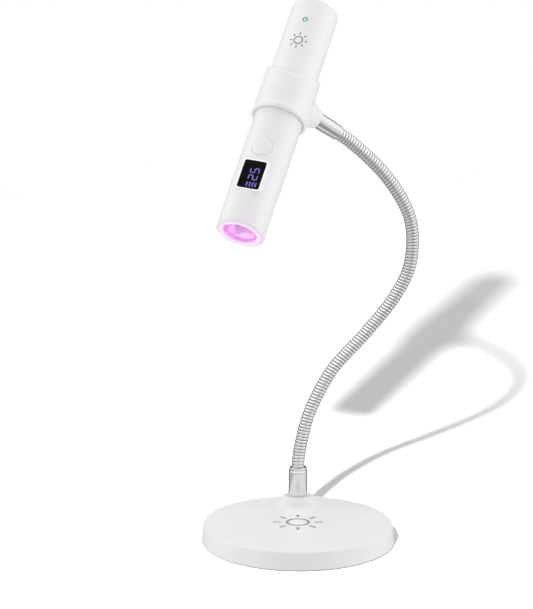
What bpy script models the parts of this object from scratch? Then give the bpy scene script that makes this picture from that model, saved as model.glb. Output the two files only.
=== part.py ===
"""UV curing lamp: a battery torch held by a collar on a gooseneck that stands on a weighted round base.

Frame: origin at the centre of the foot pad's underside, +Z up, the torch's window side towards -Y.
All constants are millimetres and degrees; meshes are written in metres.
"""

import math

import bmesh
import bpy
from mathutils import Matrix, Vector

MM = 0.001
MERGE_MM = 0.004
SMOOTH_BELOW = 35.0

# Base
BASE_R = 48.5
BASE_R_TOP = 47.8
BASE_TOP_Z = 10.0
BASE_SKIRT_Z = 0.8
BASE_WALL = 2.0
BASE_ROOF = 1.8
BASE_EDGE_R = 1.4
PAD_R = 45.0
PAD_T = 1.0
PLATE_R = 46.0
PLATE_Z = (1.1, 2.6)
WEIGHT_R = 43.0
WEIGHT_Z = (2.9, 8.0)
SCREW_CIRCLE_R = 30.0
SCREW_ANGLES = (-90.0, 30.0, 150.0)
SCREW_R = 1.25
SCREW_HEAD_R = 2.3
PILOT_R = 1.4
PILLAR_R = 3.0
HUB_Y = 33.0
HUB_FOOT_R = 12.1
HUB_R = 8.9
HUB_TOP_R = 6.1
HUB_TOP_Z = 14.6
STUD_R = 3.4
STUD_HOLE_R = 3.7
NUT_FLAT = 11.0
NUT_Z = (4.3, 7.0)
WASHER_R = 6.8
WASHER_Z = (7.1, 8.1)

# Gooseneck
HOSE_R = 3.25
HOSE_CUP_R = 3.55
HOSE_LINKS = 8
HOSE_TUCK = 6.0
FERRULE_R = 4.9
FERRULE_TOP_Z = 29.7
FERRULE_BORE_R = 3.4
FERRULE_BORE_Z = 23.0
NECK_ROUTE = (
    (0.0, 33.0, 29.7),
    (1.9, 33.5, 44.0),
    (6.6, 35.3, 60.0),
    (17.6, 38.8, 80.0),
    (34.7, 43.0, 98.5),
    (48.8, 45.3, 116.0),
    (57.0, 45.5, 133.0),
    (58.0, 43.8, 152.5),
    (52.7, 40.9, 168.0),
    (39.7, 36.5, 185.8),
)

# Holder: its local +Z runs along the torch towards the tail, its origin is on the torch axis at the socket
HOLDER_CENTRE = (-6.75, 19.7, 220.4)
HOLDER_TILT = 40.0
HOLDER_YAW = 25.1
SOCKET_AZIMUTH = 54.0
SOCKET_START_R = 10.5
SOCKET_TAPER_R = 14.4
SOCKET_END_R = 20.0
SOCKET_ROOT_R = 6.4
SOCKET_TIP_R = 4.8
SPIGOT_R = 3.0
SPIGOT_HOLE_R = 3.2
SPIGOT_START_R = 15.6
TOP_FERRULE_END_R = 33.0
COLLAR_R = 13.8
COLLAR_LIP_R = 14.2
COLLAR_BORE_R = 12.7
COLLAR_NECK_BORE_R = 12.3
COLLAR_BOTTOM_Z = -12.7
COLLAR_TOP_Z = 18.0
COLLAR_TOP_EDGE = 1.1
COLLAR_SCOOP = 10.0
COLLAR_SCOOP_AZIMUTH = -62.0
COLLAR_STEP_Z = 7.0
LINER_R = (12.1, 12.6)
LINER_Z = (-12.1, 6.8)

# Torch, in the holder's frame turned by its own spin
TORCH_SPIN = 12.0
TORCH_R = 12.0
TORCH_BORE_R = 10.4
TORCH_TAIL_Z = 55.5
TORCH_TAIL_WALL = 2.0
TORCH_TAIL_EDGE = 2.4
TORCH_MOUTH_Z = -78.3
TORCH_MOUTH_EDGE = 1.0
MOUTH_OPEN_R = 8.3
LENS_R = 9.0
LENS_SEAT_R = 9.15
LENS_TOP_Z = -73.1
INDICATOR_Z = 41.0
INDICATOR_R = 1.25
BUTTON_Z = -35.3
BUTTON_R = 5.1
BUTTON_FACE_R = 12.5
BUTTON_FLANGE_R = 5.8
BUTTON_BACK = 7.55
WINDOW_Z = (-59.6, -44.0)
WINDOW_W = 10.9
WINDOW_CORNER = 1.0
WINDOW_GAP = 0.12
WINDOW_Y = (10.9, 12.0)
WINDOW_FRAME = 0.75
WINDOW_FRAME_Y = 12.15
WINDOW_FRAME_ROOT_R = 10.9
PORT_W = 8.9
PORT_H = 3.2
PORT_CORNER = 1.5
PORT_Z = (46.8, 55.0)
PORT_WALL = 0.3
CELL_R = 9.2
CELL_Z = (-26.5, 38.5)
BOARD_Y = (-5.4, -4.2)

# Colour, metallic, roughness
MATERIALS = {
    "white_shell": ((0.86, 0.86, 0.86), 0.0, 0.4),
    "white_collar": ((0.87, 0.87, 0.87), 0.0, 0.42),
    "white_base": ((0.84, 0.84, 0.84), 0.0, 0.42),
    "inner_plastic": ((0.16, 0.16, 0.17), 0.0, 0.5),
    "chrome": ((0.8, 0.8, 0.82), 1.0, 0.12),
    "plated_steel": ((0.6, 0.6, 0.62), 1.0, 0.3),
    "raw_steel": ((0.36, 0.36, 0.38), 1.0, 0.5),
    "aluminium": ((0.72, 0.73, 0.75), 1.0, 0.35),
    "brass": ((0.78, 0.6, 0.28), 1.0, 0.3),
    "grip_rubber": ((0.6, 0.6, 0.61), 0.0, 0.7),
    "pad_foam": ((0.06, 0.06, 0.065), 0.0, 0.85),
    "cell_wrap": ((0.12, 0.3, 0.52), 0.0, 0.35),
    "board": ((0.03, 0.2, 0.1), 0.0, 0.45),
    "button_white": ((0.86, 0.86, 0.87), 0.0, 0.38),
    "window_black": ((0.01, 0.01, 0.013), 0.0, 0.08),
    "display_black": ((0.02, 0.015, 0.05), 0.0, 0.4),
    "mirror_plating": ((0.9, 0.9, 0.92), 1.0, 0.05),
    "lens_glass": ((0.92, 0.85, 0.95), 0.0, 0.04),
    "emitter": ((0.62, 0.35, 0.85), 0.0, 0.25),
    "light_pipe": ((0.25, 0.75, 0.4), 0.0, 0.2),
}


# ---------------------------------------------------------------- helpers


def material(name):
    found = bpy.data.materials.get(name)
    if found:
        return found
    colour, metallic, roughness = MATERIALS[name]
    mat = bpy.data.materials.new(name)
    mat.use_nodes = True
    shader = mat.node_tree.nodes["Principled BSDF"]
    shader.inputs["Base Color"].default_value = (*colour, 1.0)
    shader.inputs["Metallic"].default_value = metallic
    shader.inputs["Roughness"].default_value = roughness
    mat.diffuse_color = (*colour, 1.0)
    return mat


def clear_scene():
    for obj in list(bpy.data.objects):
        bpy.data.objects.remove(obj, do_unlink=True)


def finish_mesh(name, bm, mat):
    """Closes off a bmesh in millimetres as an object in metres."""
    bmesh.ops.scale(bm, vec=(MM, MM, MM), verts=bm.verts)
    bmesh.ops.recalc_face_normals(bm, faces=bm.faces)
    mesh = bpy.data.meshes.new(name)
    bm.to_mesh(mesh)
    bm.free()
    obj = bpy.data.objects.new(name, mesh)
    bpy.context.scene.collection.objects.link(obj)
    if mat:
        mesh.materials.append(material(mat))
    smooth(mesh)
    return obj


def smooth(mesh):
    mesh.shade_smooth()
    mesh.set_sharp_from_angle(angle=math.radians(SMOOTH_BELOW))


def metres(matrix):
    """The same placement with its location turned from millimetres into metres."""
    scaled = matrix.copy()
    scaled.translation = matrix.translation * MM
    return scaled


def move(obj, matrix):
    """Moves the mesh inside its object."""
    obj.data.transform(metres(matrix))
    return obj


def shift(x, y, z):
    return Matrix.Translation((x, y, z))


def turn(degrees, axis):
    return Matrix.Rotation(math.radians(degrees), 4, axis)


def arc(cr, cz, radius, start, end, steps):
    """Points (r, z) on an arc about (cr, cz), angles in degrees from +r towards +z."""
    points = []
    for i in range(steps + 1):
        a = math.radians(start + (end - start) * i / steps)
        points.append((cr + radius * math.cos(a), cz + radius * math.sin(a)))
    return points


def lathe(name, profile, mat, segments=48):
    """Spins a closed outline of (r, z) about Z."""
    bm = bmesh.new()
    verts = [bm.verts.new((r, 0.0, z)) for r, z in profile]
    edges = []
    for a, b in zip(verts, verts[1:] + verts[:1]):
        if a.co.x > 0.0 or b.co.x > 0.0:
            edges.append(bm.edges.new((a, b)))
    bmesh.ops.spin(bm, geom=verts + edges, cent=(0, 0, 0), axis=(0, 0, 1),
                   angle=2.0 * math.pi, steps=segments, use_merge=True)
    bmesh.ops.remove_doubles(bm, verts=bm.verts, dist=0.0005)
    return finish_mesh(name, bm, mat)


def disc(name, radius, z0, z1, mat, segments=48):
    return lathe(name, [(0.0, z0), (radius, z0), (radius, z1), (0.0, z1)], mat, segments)


def prism(name, outline, z0, z1, mat):
    """Extrudes an (x, y) outline from z0 to z1."""
    bm = bmesh.new()
    face = bm.faces.new([bm.verts.new((x, y, z0)) for x, y in outline])
    grown = bmesh.ops.extrude_face_region(bm, geom=[face])
    raised = [v for v in grown["geom"] if isinstance(v, bmesh.types.BMVert)]
    bmesh.ops.translate(bm, vec=(0.0, 0.0, z1 - z0), verts=raised)
    return finish_mesh(name, bm, mat)


def rounded_rect(width, height, corner, steps=4):
    points = []
    for cx, cy, start in ((1, 1, 0), (-1, 1, 90), (-1, -1, 180), (1, -1, 270)):
        x = cx * (width / 2 - corner)
        y = cy * (height / 2 - corner)
        for i in range(steps + 1):
            a = math.radians(start + 90.0 * i / steps)
            points.append((x + corner * math.cos(a), y + corner * math.sin(a)))
    return points


def block(name, x, y, z, mat):
    """A box between the two limits given on each axis."""
    outline = [(x[0], y[0]), (x[1], y[0]), (x[1], y[1]), (x[0], y[1])]
    return prism(name, outline, z[0], z[1], mat)


def combine(obj, tools, operation):
    """Joins, cuts or keeps by each tool in turn, applies the result and removes the tools."""
    for tool in tools:
        mod = obj.modifiers.new(operation.lower(), "BOOLEAN")
        mod.operation = operation
        mod.solver = "EXACT"
        mod.object = tool
        bpy.context.view_layer.update()
        graph = bpy.context.evaluated_depsgraph_get()
        mesh = bpy.data.meshes.new_from_object(obj.evaluated_get(graph))
        obj.modifiers.clear()
        obj.data = mesh
        bpy.data.objects.remove(tool, do_unlink=True)
        tidy(mesh)
    return obj


def tidy(mesh):
    """Merges the coincident points and slivers a cut can leave."""
    bm = bmesh.new()
    bm.from_mesh(mesh)
    bmesh.ops.remove_doubles(bm, verts=bm.verts, dist=MERGE_MM * MM)
    bmesh.ops.dissolve_degenerate(bm, edges=bm.edges, dist=MERGE_MM * MM)
    bm.to_mesh(mesh)
    bm.free()
    smooth(mesh)


def outward(obj):
    """Lays an upright solid down so that its +Z points to the torch's front, -Y."""
    return move(obj, turn(90.0, "X"))


def guide(name, matrix):
    """An empty that carries the pieces of one assembly."""
    empty = bpy.data.objects.new(name, None)
    empty.matrix_world = metres(matrix)
    bpy.context.scene.collection.objects.link(empty)
    return empty


def carry(parent, *pieces):
    for obj in pieces:
        obj.parent = parent


# ---------------------------------------------------------------- base


def base_shell():
    edge = arc(BASE_R_TOP - BASE_EDGE_R, BASE_TOP_Z - BASE_EDGE_R, BASE_EDGE_R, 0, 90, 3)
    roof_z = BASE_TOP_Z - BASE_ROOF
    inner = BASE_R - BASE_WALL
    profile = [(inner, BASE_SKIRT_Z), (BASE_R - 0.3, BASE_SKIRT_Z), (BASE_R, BASE_SKIRT_Z + 0.3)]
    profile += edge + [(0.0, BASE_TOP_Z), (0.0, roof_z), (inner, roof_z)]
    shell = lathe("base_shell", profile, "white_base", 72)
    outline = [(0.0, roof_z + 0.5), (HUB_FOOT_R, roof_z + 0.5), (HUB_FOOT_R, BASE_TOP_Z - 0.1)]
    outline += [(HUB_FOOT_R - 1.3, BASE_TOP_Z + 0.4), (HUB_R + 1.0, BASE_TOP_Z + 1.3)]
    outline += arc(HUB_TOP_R, HUB_TOP_Z - 3.2, 3.2, 30, 90, 3) + [(0.0, HUB_TOP_Z)]
    hub = lathe("hub_tool", outline, None, 32)
    joined = [move(hub, shift(0.0, HUB_Y, 0.0))]
    holes = [move(disc("stud_tool", STUD_HOLE_R, 5.0, 16.0, None, 24), shift(0.0, HUB_Y, 0.0))]
    for angle in SCREW_ANGLES:
        at = screw_place(angle)
        joined.append(move(disc("pillar_tool", PILLAR_R, PLATE_Z[1] + 0.1, roof_z + 0.5, None, 16), at))
        holes.append(move(disc("pilot_tool", PILOT_R, PLATE_Z[1] - 0.5, 7.6, None, 12), at))
    combine(shell, joined, "UNION")
    combine(shell, holes, "DIFFERENCE")


def screw_place(angle):
    a = math.radians(angle)
    return shift(SCREW_CIRCLE_R * math.cos(a), SCREW_CIRCLE_R * math.sin(a), 0.0)


def base_weight():
    weight = disc("base_weight", WEIGHT_R, WEIGHT_Z[0], WEIGHT_Z[1], "raw_steel", 48)
    cuts = [move(disc("nut_tool", 9.0, 1.0, 10.0, None, 32), shift(0.0, HUB_Y, 0.0))]
    cuts.append(block("notch_tool", (-7.5, 7.5), (HUB_Y + 2.0, 50.0), (2.0, 9.0), None))
    for angle in SCREW_ANGLES:
        cuts.append(move(disc("pillar_tool", PILLAR_R + 0.4, 2.0, 9.0, None, 16), screw_place(angle)))
    combine(weight, cuts, "DIFFERENCE")


def base_plate():
    plate = disc("base_plate", PLATE_R, PLATE_Z[0], PLATE_Z[1], "inner_plastic", 48)
    sink = [(0.0, PLATE_Z[0] - 0.5), (SCREW_HEAD_R + 0.3, PLATE_Z[0] - 0.5)]
    sink += [(SCREW_HEAD_R + 0.3, PLATE_Z[0] + 0.3), (SCREW_R + 0.35, PLATE_Z[1] - 0.1)]
    sink += [(SCREW_R + 0.35, PLATE_Z[1] + 0.5), (0.0, PLATE_Z[1] + 0.5)]
    cuts = [move(lathe("sink_tool", sink, None, 16), screw_place(a)) for a in SCREW_ANGLES]
    combine(plate, cuts, "DIFFERENCE")


def base_screw(index, angle):
    """Countersunk screw with a cross recess, head down."""
    head = PLATE_Z[0] + 0.05
    profile = [(0.0, head), (SCREW_HEAD_R, head), (SCREW_HEAD_R, head + 0.2), (SCREW_R, head + 1.25)]
    profile += [(SCREW_R, 6.6), (0.5, 7.3), (0.0, 7.3)]
    screw = lathe(f"base_screw_{index}", profile, "plated_steel", 14)
    cuts = [block("cross_tool", (-1.3, 1.3), (-0.25, 0.25), (0.0, head + 0.7), None)]
    cuts.append(block("cross_tool", (-0.25, 0.25), (-1.3, 1.3), (0.0, head + 0.7), None))
    combine(screw, cuts, "DIFFERENCE")
    screw.matrix_world = metres(screw_place(angle))


def neck_fixing():
    """The washer and hexagon nut that clamp the gooseneck's stud under the base's roof."""
    ring = [(STUD_R + 0.15, WASHER_Z[0]), (WASHER_R, WASHER_Z[0])]
    ring += [(WASHER_R, WASHER_Z[1]), (STUD_R + 0.15, WASHER_Z[1])]
    washer = lathe("neck_washer", ring, "plated_steel", 24)
    corner = NUT_FLAT / math.sqrt(3.0)
    hexagon = [(corner * math.cos(math.radians(a)), corner * math.sin(math.radians(a)))
               for a in range(0, 360, 60)]
    nut = prism("neck_nut", hexagon, NUT_Z[0], NUT_Z[1], "plated_steel")
    combine(nut, [disc("bore_tool", STUD_R + 0.15, 3.0, 9.0, None, 24)], "DIFFERENCE")
    for obj in (washer, nut):
        obj.location = (0.0, HUB_Y * MM, 0.0)


def lower_ferrule():
    z0 = HUB_TOP_Z + 0.05
    top = FERRULE_TOP_Z
    profile = [(0.0, 3.6), (STUD_R - 0.4, 3.6), (STUD_R, 4.0), (STUD_R, z0)]
    profile += [(FERRULE_R - 0.3, z0), (FERRULE_R, z0 + 0.3), (FERRULE_R, top - 2.6)]
    profile += [(FERRULE_R - 0.35, top - 2.2), (FERRULE_R - 0.35, top - 0.5), (FERRULE_R - 0.7, top)]
    profile += [(FERRULE_BORE_R, top), (FERRULE_BORE_R, FERRULE_BORE_Z), (0.0, FERRULE_BORE_Z)]
    ferrule = lathe("ferrule_lower", profile, "chrome", 28)
    ferrule.location = (0.0, HUB_Y * MM, 0.0)


def build_base():
    disc("foot_pad", PAD_R, 0.0, PAD_T, "pad_foam", 64)
    base_plate()
    base_weight()
    base_shell()
    for index, angle in enumerate(SCREW_ANGLES, start=1):
        base_screw(index, angle)
    neck_fixing()
    lower_ferrule()


# ---------------------------------------------------------------- gooseneck


def holder_matrix():
    return shift(*HOLDER_CENTRE) @ turn(-HOLDER_YAW, "Z") @ turn(-HOLDER_TILT, "X")


def socket_turn():
    """From the holder's frame to the socket's, whose +Z leaves the collar."""
    return turn(SOCKET_AZIMUTH, "Z") @ turn(90.0, "Y")


def neck_curve():
    """Dense points of a smooth curve through the route, from the lower ferrule to the upper one."""
    socket = holder_matrix() @ socket_turn()
    end = socket @ Vector((0.0, 0.0, TOP_FERRULE_END_R))
    leave = -(socket.to_3x3() @ Vector((0.0, 0.0, 1.0)))
    knots = [Vector(p) for p in NECK_ROUTE] + [end]
    slopes = [(knots[i + 1] - knots[i - 1]) / 2.0 for i in range(1, len(knots) - 1)]
    slopes.insert(0, Vector((0.0, 0.0, (knots[1] - knots[0]).length)))
    slopes.append(leave * (knots[-1] - knots[-2]).length)
    points = []
    for i in range(len(knots) - 1):
        for k in range(40):
            t = k / 40.0
            a = 2 * t**3 - 3 * t**2 + 1
            b = t**3 - 2 * t**2 + t
            points.append(a * knots[i] + b * slopes[i] + (1 - a) * knots[i + 1]
                          + (t**3 - t**2) * slopes[i + 1])
    points.append(end)
    return points


class Route:
    """Position and frame at a distance along the neck, carried on straight past both ends."""

    def __init__(self):
        self.points = neck_curve()
        self.at = [0.0]
        for a, b in zip(self.points, self.points[1:]):
            self.at.append(self.at[-1] + (b - a).length)
        self.length = self.at[-1]

    def point(self, s):
        i = 0
        while i < len(self.at) - 2 and self.at[i + 1] < s:
            i += 1
        span = self.at[i + 1] - self.at[i]
        return self.points[i].lerp(self.points[i + 1], (s - self.at[i]) / span)

    def frame(self, s):
        tangent = (self.point(s + 0.5) - self.point(s - 0.5)).normalized()
        across = Vector((0.0, 1.0, 0.0))
        across = (across - tangent * across.dot(tangent)).normalized()
        return self.point(s), tangent, across, tangent.cross(across)


def skin(name, rings, start, end, origin, mat, segments=12):
    """Bridges rings of (centre, across, side, radius), with a start and an end point, about an origin."""
    bm = bmesh.new()
    loops = []
    for centre, across, side, radius in rings:
        loop = []
        for i in range(segments):
            a = 2.0 * math.pi * i / segments
            spoke = math.cos(a) * across + math.sin(a) * side
            loop.append(bm.verts.new(centre + radius * spoke - origin))
        loops.append(loop)
    first = bm.verts.new(start - origin)
    last = bm.verts.new(end - origin)
    for i in range(segments):
        j = (i + 1) % segments
        bm.faces.new((first, loops[0][j], loops[0][i]))
        bm.faces.new((last, loops[-1][i], loops[-1][j]))
        for low, high in zip(loops, loops[1:]):
            bm.faces.new((low[i], low[j], high[j], high[i]))
    obj = finish_mesh(name, bm, mat)
    obj.location = origin * MM
    return obj


def cup_rings(route, s):
    """The hollow end of a link, a shallow bowl about the pivot below it."""
    pivot, tangent, across, side = route.frame(s)
    reach = math.asin(HOSE_R / HOSE_CUP_R)
    rings = []
    for i in range(1, 3):
        a = reach * i / 2
        rings.append((pivot + tangent * HOSE_CUP_R * math.cos(a), across, side, HOSE_CUP_R * math.sin(a)))
    return pivot, pivot + tangent * HOSE_CUP_R, rings


def dome_rings(route, s):
    """The round end of a link, a half ball about the pivot above it."""
    pivot, tangent, across, side = route.frame(s)
    rings = []
    for i in range(3):
        a = math.radians(30.0 * i)
        rings.append((pivot + tangent * HOSE_R * math.sin(a), across, side, HOSE_R * math.cos(a)))
    return pivot + tangent * HOSE_R, rings


def tube_rings(route, s0, s1, count):
    rings = []
    for i in range(count + 1):
        centre, _, across, side = route.frame(s0 + (s1 - s0) * i / count)
        rings.append((centre, across, side, HOSE_R))
    return rings


def build_neck():
    """Lengths of hose with a pivot between each two; each moving length has its origin on its pivot."""
    route = Route()
    pitch = route.length / HOSE_LINKS
    first, last = 0.5 * pitch, route.length - 0.5 * pitch
    start = route.point(-HOSE_TUCK)
    end, dome = dome_rings(route, first)
    skin("hose_0", tube_rings(route, -HOSE_TUCK, first - 2.0, 3) + dome, start, end, start, "chrome")
    for k in range(1, HOSE_LINKS):
        low = (k - 0.5) * pitch
        pivot, start, cup = cup_rings(route, low)
        end, dome = dome_rings(route, low + pitch)
        tube = tube_rings(route, low + 4.0, low + pitch - 2.0, 4)
        skin(f"hose_{k}", cup + tube + dome, start, end, pivot, "chrome")
    pivot, start, cup = cup_rings(route, last)
    tube = tube_rings(route, last + 4.0, route.length + HOSE_TUCK, 3)
    skin(f"hose_{HOSE_LINKS}", cup + tube, start, route.point(route.length + HOSE_TUCK), pivot, "chrome")


# ---------------------------------------------------------------- holder


def collar_top(angle):
    """Height of the collar's upper rim: a wide scoop lowers it at the front."""
    facing = math.cos(angle - math.radians(COLLAR_SCOOP_AZIMUTH))
    return COLLAR_TOP_Z - COLLAR_SCOOP * ((1.0 + facing) / 2.0) ** 2


def collar_tube():
    """A stepped tube spun with a level rim at z = 0, which is then lifted to the scooped height."""
    bottom = COLLAR_BOTTOM_Z
    profile = [(COLLAR_BORE_R, bottom + 0.3), (COLLAR_BORE_R + 0.3, bottom), (COLLAR_LIP_R - 0.7, bottom)]
    profile += arc(COLLAR_LIP_R - 0.9, bottom + 0.9, 0.9, -45, 0, 2)
    profile += [(COLLAR_LIP_R - 0.15, bottom + 1.9), (COLLAR_R, bottom + 3.4), (COLLAR_R, 5.0)]
    lift = 100.0
    profile += arc(COLLAR_R - COLLAR_TOP_EDGE, lift - COLLAR_TOP_EDGE, COLLAR_TOP_EDGE, 0, 90, 3)
    profile += [(COLLAR_NECK_BORE_R + 0.35, lift), (COLLAR_NECK_BORE_R, lift - 0.35)]
    profile += [(COLLAR_NECK_BORE_R, COLLAR_STEP_Z + 0.3), (COLLAR_BORE_R, COLLAR_STEP_Z)]
    tube = lathe("collar", profile, "white_collar", 48)
    for vert in tube.data.vertices:
        if vert.co.z > 0.5 * lift * MM:
            vert.co.z += (collar_top(math.atan2(vert.co.y, vert.co.x)) - lift) * MM
    return tube


def collar(holder):
    tube = collar_tube()
    socket = [(0.0, SOCKET_START_R), (SOCKET_ROOT_R + 0.3, SOCKET_START_R), (SOCKET_ROOT_R, SOCKET_TAPER_R)]
    socket += [(SOCKET_TIP_R + 0.15, SOCKET_END_R - 0.9), (SOCKET_TIP_R - 0.15, SOCKET_END_R - 0.25)]
    socket += [(SOCKET_TIP_R - 0.5, SOCKET_END_R), (0.0, SOCKET_END_R)]
    boss = move(lathe("socket_tool", socket, None, 28), socket_turn())
    middle_r = (COLLAR_BORE_R + COLLAR_R) / 2.0
    combine(boss, [disc("bore_tool", middle_r, -20.0, 20.0, None, 48)], "DIFFERENCE")
    combine(tube, [boss], "UNION")
    hole = disc("spigot_tool", SPIGOT_HOLE_R, SPIGOT_START_R - 0.3, SOCKET_END_R + 1.0, None, 20)
    combine(tube, [move(hole, socket_turn())], "DIFFERENCE")
    carry(holder, tube)


def upper_ferrule(holder):
    end = TOP_FERRULE_END_R
    start = SOCKET_END_R + 0.05
    bore = end - HOSE_TUCK - 0.5
    profile = [(0.0, SPIGOT_START_R), (SPIGOT_R, SPIGOT_START_R), (SPIGOT_R, start)]
    profile += [(3.85, start), (4.05, start + 0.2), (4.05, start + 5.0), (3.75, end - 0.4), (3.62, end)]
    profile += [(FERRULE_BORE_R, end), (FERRULE_BORE_R, bore), (0.0, bore)]
    carry(holder, move(lathe("ferrule_upper", profile, "chrome", 28), socket_turn()))


def liner(holder):
    profile = [(LINER_R[0], LINER_Z[0]), (LINER_R[1], LINER_Z[0])]
    profile += [(LINER_R[1], LINER_Z[1]), (LINER_R[0], LINER_Z[1])]
    carry(holder, lathe("grip_liner", profile, "grip_rubber", 48))


# ---------------------------------------------------------------- torch


def window_slab(name, gap, y0, y1, mat):
    """A flat slab with the window's outline, grown by the gap all round, facing the front."""
    height = WINDOW_Z[1] - WINDOW_Z[0]
    outline = rounded_rect(WINDOW_W + 2 * gap, height + 2 * gap, WINDOW_CORNER + gap)
    slab = outward(prism(name, outline, y0, y1, mat))
    return move(slab, shift(0.0, 0.0, (WINDOW_Z[0] + WINDOW_Z[1]) / 2))


def window_frame():
    """The flat rim that stands out of the barrel around the window, rooted inside the barrel's wall."""
    rim = window_slab("frame_tool", WINDOW_GAP + WINDOW_FRAME, 7.0, WINDOW_FRAME_Y, None)
    root = disc("root_tool", WINDOW_FRAME_ROOT_R, WINDOW_Z[0] - 5.0, WINDOW_Z[1] + 5.0, None, 56)
    return combine(rim, [root], "DIFFERENCE")


def barrel():
    tail = arc(TORCH_R - TORCH_TAIL_EDGE, TORCH_TAIL_Z - TORCH_TAIL_EDGE, TORCH_TAIL_EDGE, 0, 90, 4)
    lip = TORCH_MOUTH_EDGE
    mouth = arc(TORCH_R - lip, TORCH_MOUTH_Z + lip, lip, -90, 0, 3)
    roof = TORCH_TAIL_Z - TORCH_TAIL_WALL
    profile = [(TORCH_BORE_R, TORCH_MOUTH_Z)] + mouth + tail + [(0.0, TORCH_TAIL_Z)]
    profile += [(0.0, roof), (TORCH_BORE_R - 1.0, roof), (TORCH_BORE_R, roof - 1.0)]
    body = lathe("barrel", profile, "white_shell", 56)
    button = outward(disc("button_tool", BUTTON_R + 0.25, 7.0, 15.0, None, 32))
    lamp = outward(disc("indicator_tool", INDICATOR_R + 0.12, 7.0, 15.0, None, 16))
    port = prism("port_tool", rounded_rect(PORT_W + 0.6, PORT_H + 0.6, PORT_CORNER + 0.1), 50.0, 60.0, None)
    cuts = [move(button, shift(0.0, 0.0, BUTTON_Z)), move(lamp, shift(0.0, 0.0, INDICATOR_Z))]
    cuts += [window_slab("window_tool", WINDOW_GAP, 7.0, 15.0, None), port]
    combine(body, [window_frame()], "UNION")
    return combine(body, cuts, "DIFFERENCE")


def push_button():
    """A cap whose face follows the barrel, with a flange behind the wall; its origin is on its travel."""
    at = shift(0.0, 0.0, BUTTON_Z)
    cap = move(outward(disc("push_button", BUTTON_R, BUTTON_BACK + 0.05, 14.0, "button_white", 32)), at)
    face = disc("face_tool", BUTTON_FACE_R, BUTTON_Z - 8, BUTTON_Z + 8, None, 72)
    combine(cap, [face], "INTERSECT")
    flange = disc("flange_tool", BUTTON_FLANGE_R, BUTTON_BACK, BUTTON_BACK + 0.75, None, 32)
    combine(cap, [move(outward(flange), at)], "UNION")
    ring = [(3.9, 11.6), (4.2, 11.6), (4.2, 13.0), (3.9, 13.0)]
    combine(cap, [move(outward(lathe("groove_tool", ring, None, 28)), at)], "DIFFERENCE")
    move(cap, shift(0.0, BUTTON_FACE_R, -BUTTON_Z))
    cap.location = (0.0, -BUTTON_FACE_R * MM, BUTTON_Z * MM)
    return cap


def indicator():
    pipe = outward(disc("indicator_lens", INDICATOR_R, 9.0, 11.95, "light_pipe", 16))
    return move(pipe, shift(0.0, 0.0, INDICATOR_Z))


def charge_port():
    """The socket's folded metal shell and the tongue inside it, mouth to the tail."""
    low, high = PORT_Z
    shell = prism("port_shell", rounded_rect(PORT_W, PORT_H, PORT_CORNER), low, high, "plated_steel")
    inner = rounded_rect(PORT_W - 2 * PORT_WALL, PORT_H - 2 * PORT_WALL, PORT_CORNER - PORT_WALL)
    combine(shell, [prism("port_hollow_tool", inner, low + 0.8, high + 1.0, None)], "DIFFERENCE")
    tongue = block("port_tongue", (-3.3, 3.3), (-0.35, 0.35), (low + 0.85, high - 0.8), "inner_plastic")
    board = disc("charge_board", 9.6, low - 1.9, low - 0.5, "board", 32)
    chip = block("charge_chip", (-6.6, -3.2), (2.6, 6.0), (low - 0.45, low + 0.8), "inner_plastic")
    return shell, tongue, board, chip


def cell():
    low, high = CELL_Z
    profile = [(0.0, low), (CELL_R - 0.5, low), (CELL_R, low + 0.5), (CELL_R, high - 1.2)]
    profile += [(CELL_R - 0.8, high - 0.4), (3.2, high - 0.4), (3.0, high), (0.0, high)]
    return lathe("cell", profile, "cell_wrap", 32)


def tail_spring():
    """A conical contact spring of round wire, widest at the cell."""
    turns, wire, z0, z1 = 3, 0.35, 39.0, 44.4
    steps = turns * 12
    frames = []
    for i in range(steps + 1):
        t = i / steps
        a = 2.0 * math.pi * turns * t
        out = Vector((math.cos(a), math.sin(a), 0.0))
        centre = out * (4.6 - 1.6 * t) + Vector((0.0, 0.0, z0 + (z1 - z0) * t))
        frames.append((centre, out, Vector((0.0, 0.0, 1.0)), wire))
    return skin("tail_spring", frames, frames[0][0], frames[-1][0], Vector(), "plated_steel", 5)


def contacts():
    front = disc("front_contact", 5.0, CELL_Z[0] - 0.7, CELL_Z[0] - 0.2, "brass", 24)
    board = disc("contact_board", 9.8, CELL_Z[0] - 2.1, CELL_Z[0] - 0.8, "board", 32)
    return front, board, tail_spring()


def electronics():
    front, back = BOARD_Y
    board = block("control_board", (-8.0, 8.0), BOARD_Y, (-58.2, -29.0), "board")
    switch = block("button_switch", (-3.0, 3.0), (front - 1.1, front - 0.05),
                   (BUTTON_Z - 3.0, BUTTON_Z + 3.0), "inner_plastic")
    plunger = outward(disc("plunger_tool", 1.6, -front + 0.6, BUTTON_BACK - 0.6, None, 16))
    combine(switch, [move(plunger, shift(0.0, 0.0, BUTTON_Z))], "UNION")
    module = block("display_module", (-4.9, 4.9), (-9.4, front - 0.05),
                   (WINDOW_Z[0] + 1.5, WINDOW_Z[1] - 0.6), "display_black")
    driver = block("driver_chip", (-3.0, 3.0), (back + 0.05, -2.6), (-48.0, -42.0), "inner_plastic")
    choke = block("driver_choke", (-3.4, 3.4), (back + 0.05, -0.6), (-38.5, -31.5), "inner_plastic")
    return board, switch, module, driver, choke


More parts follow.
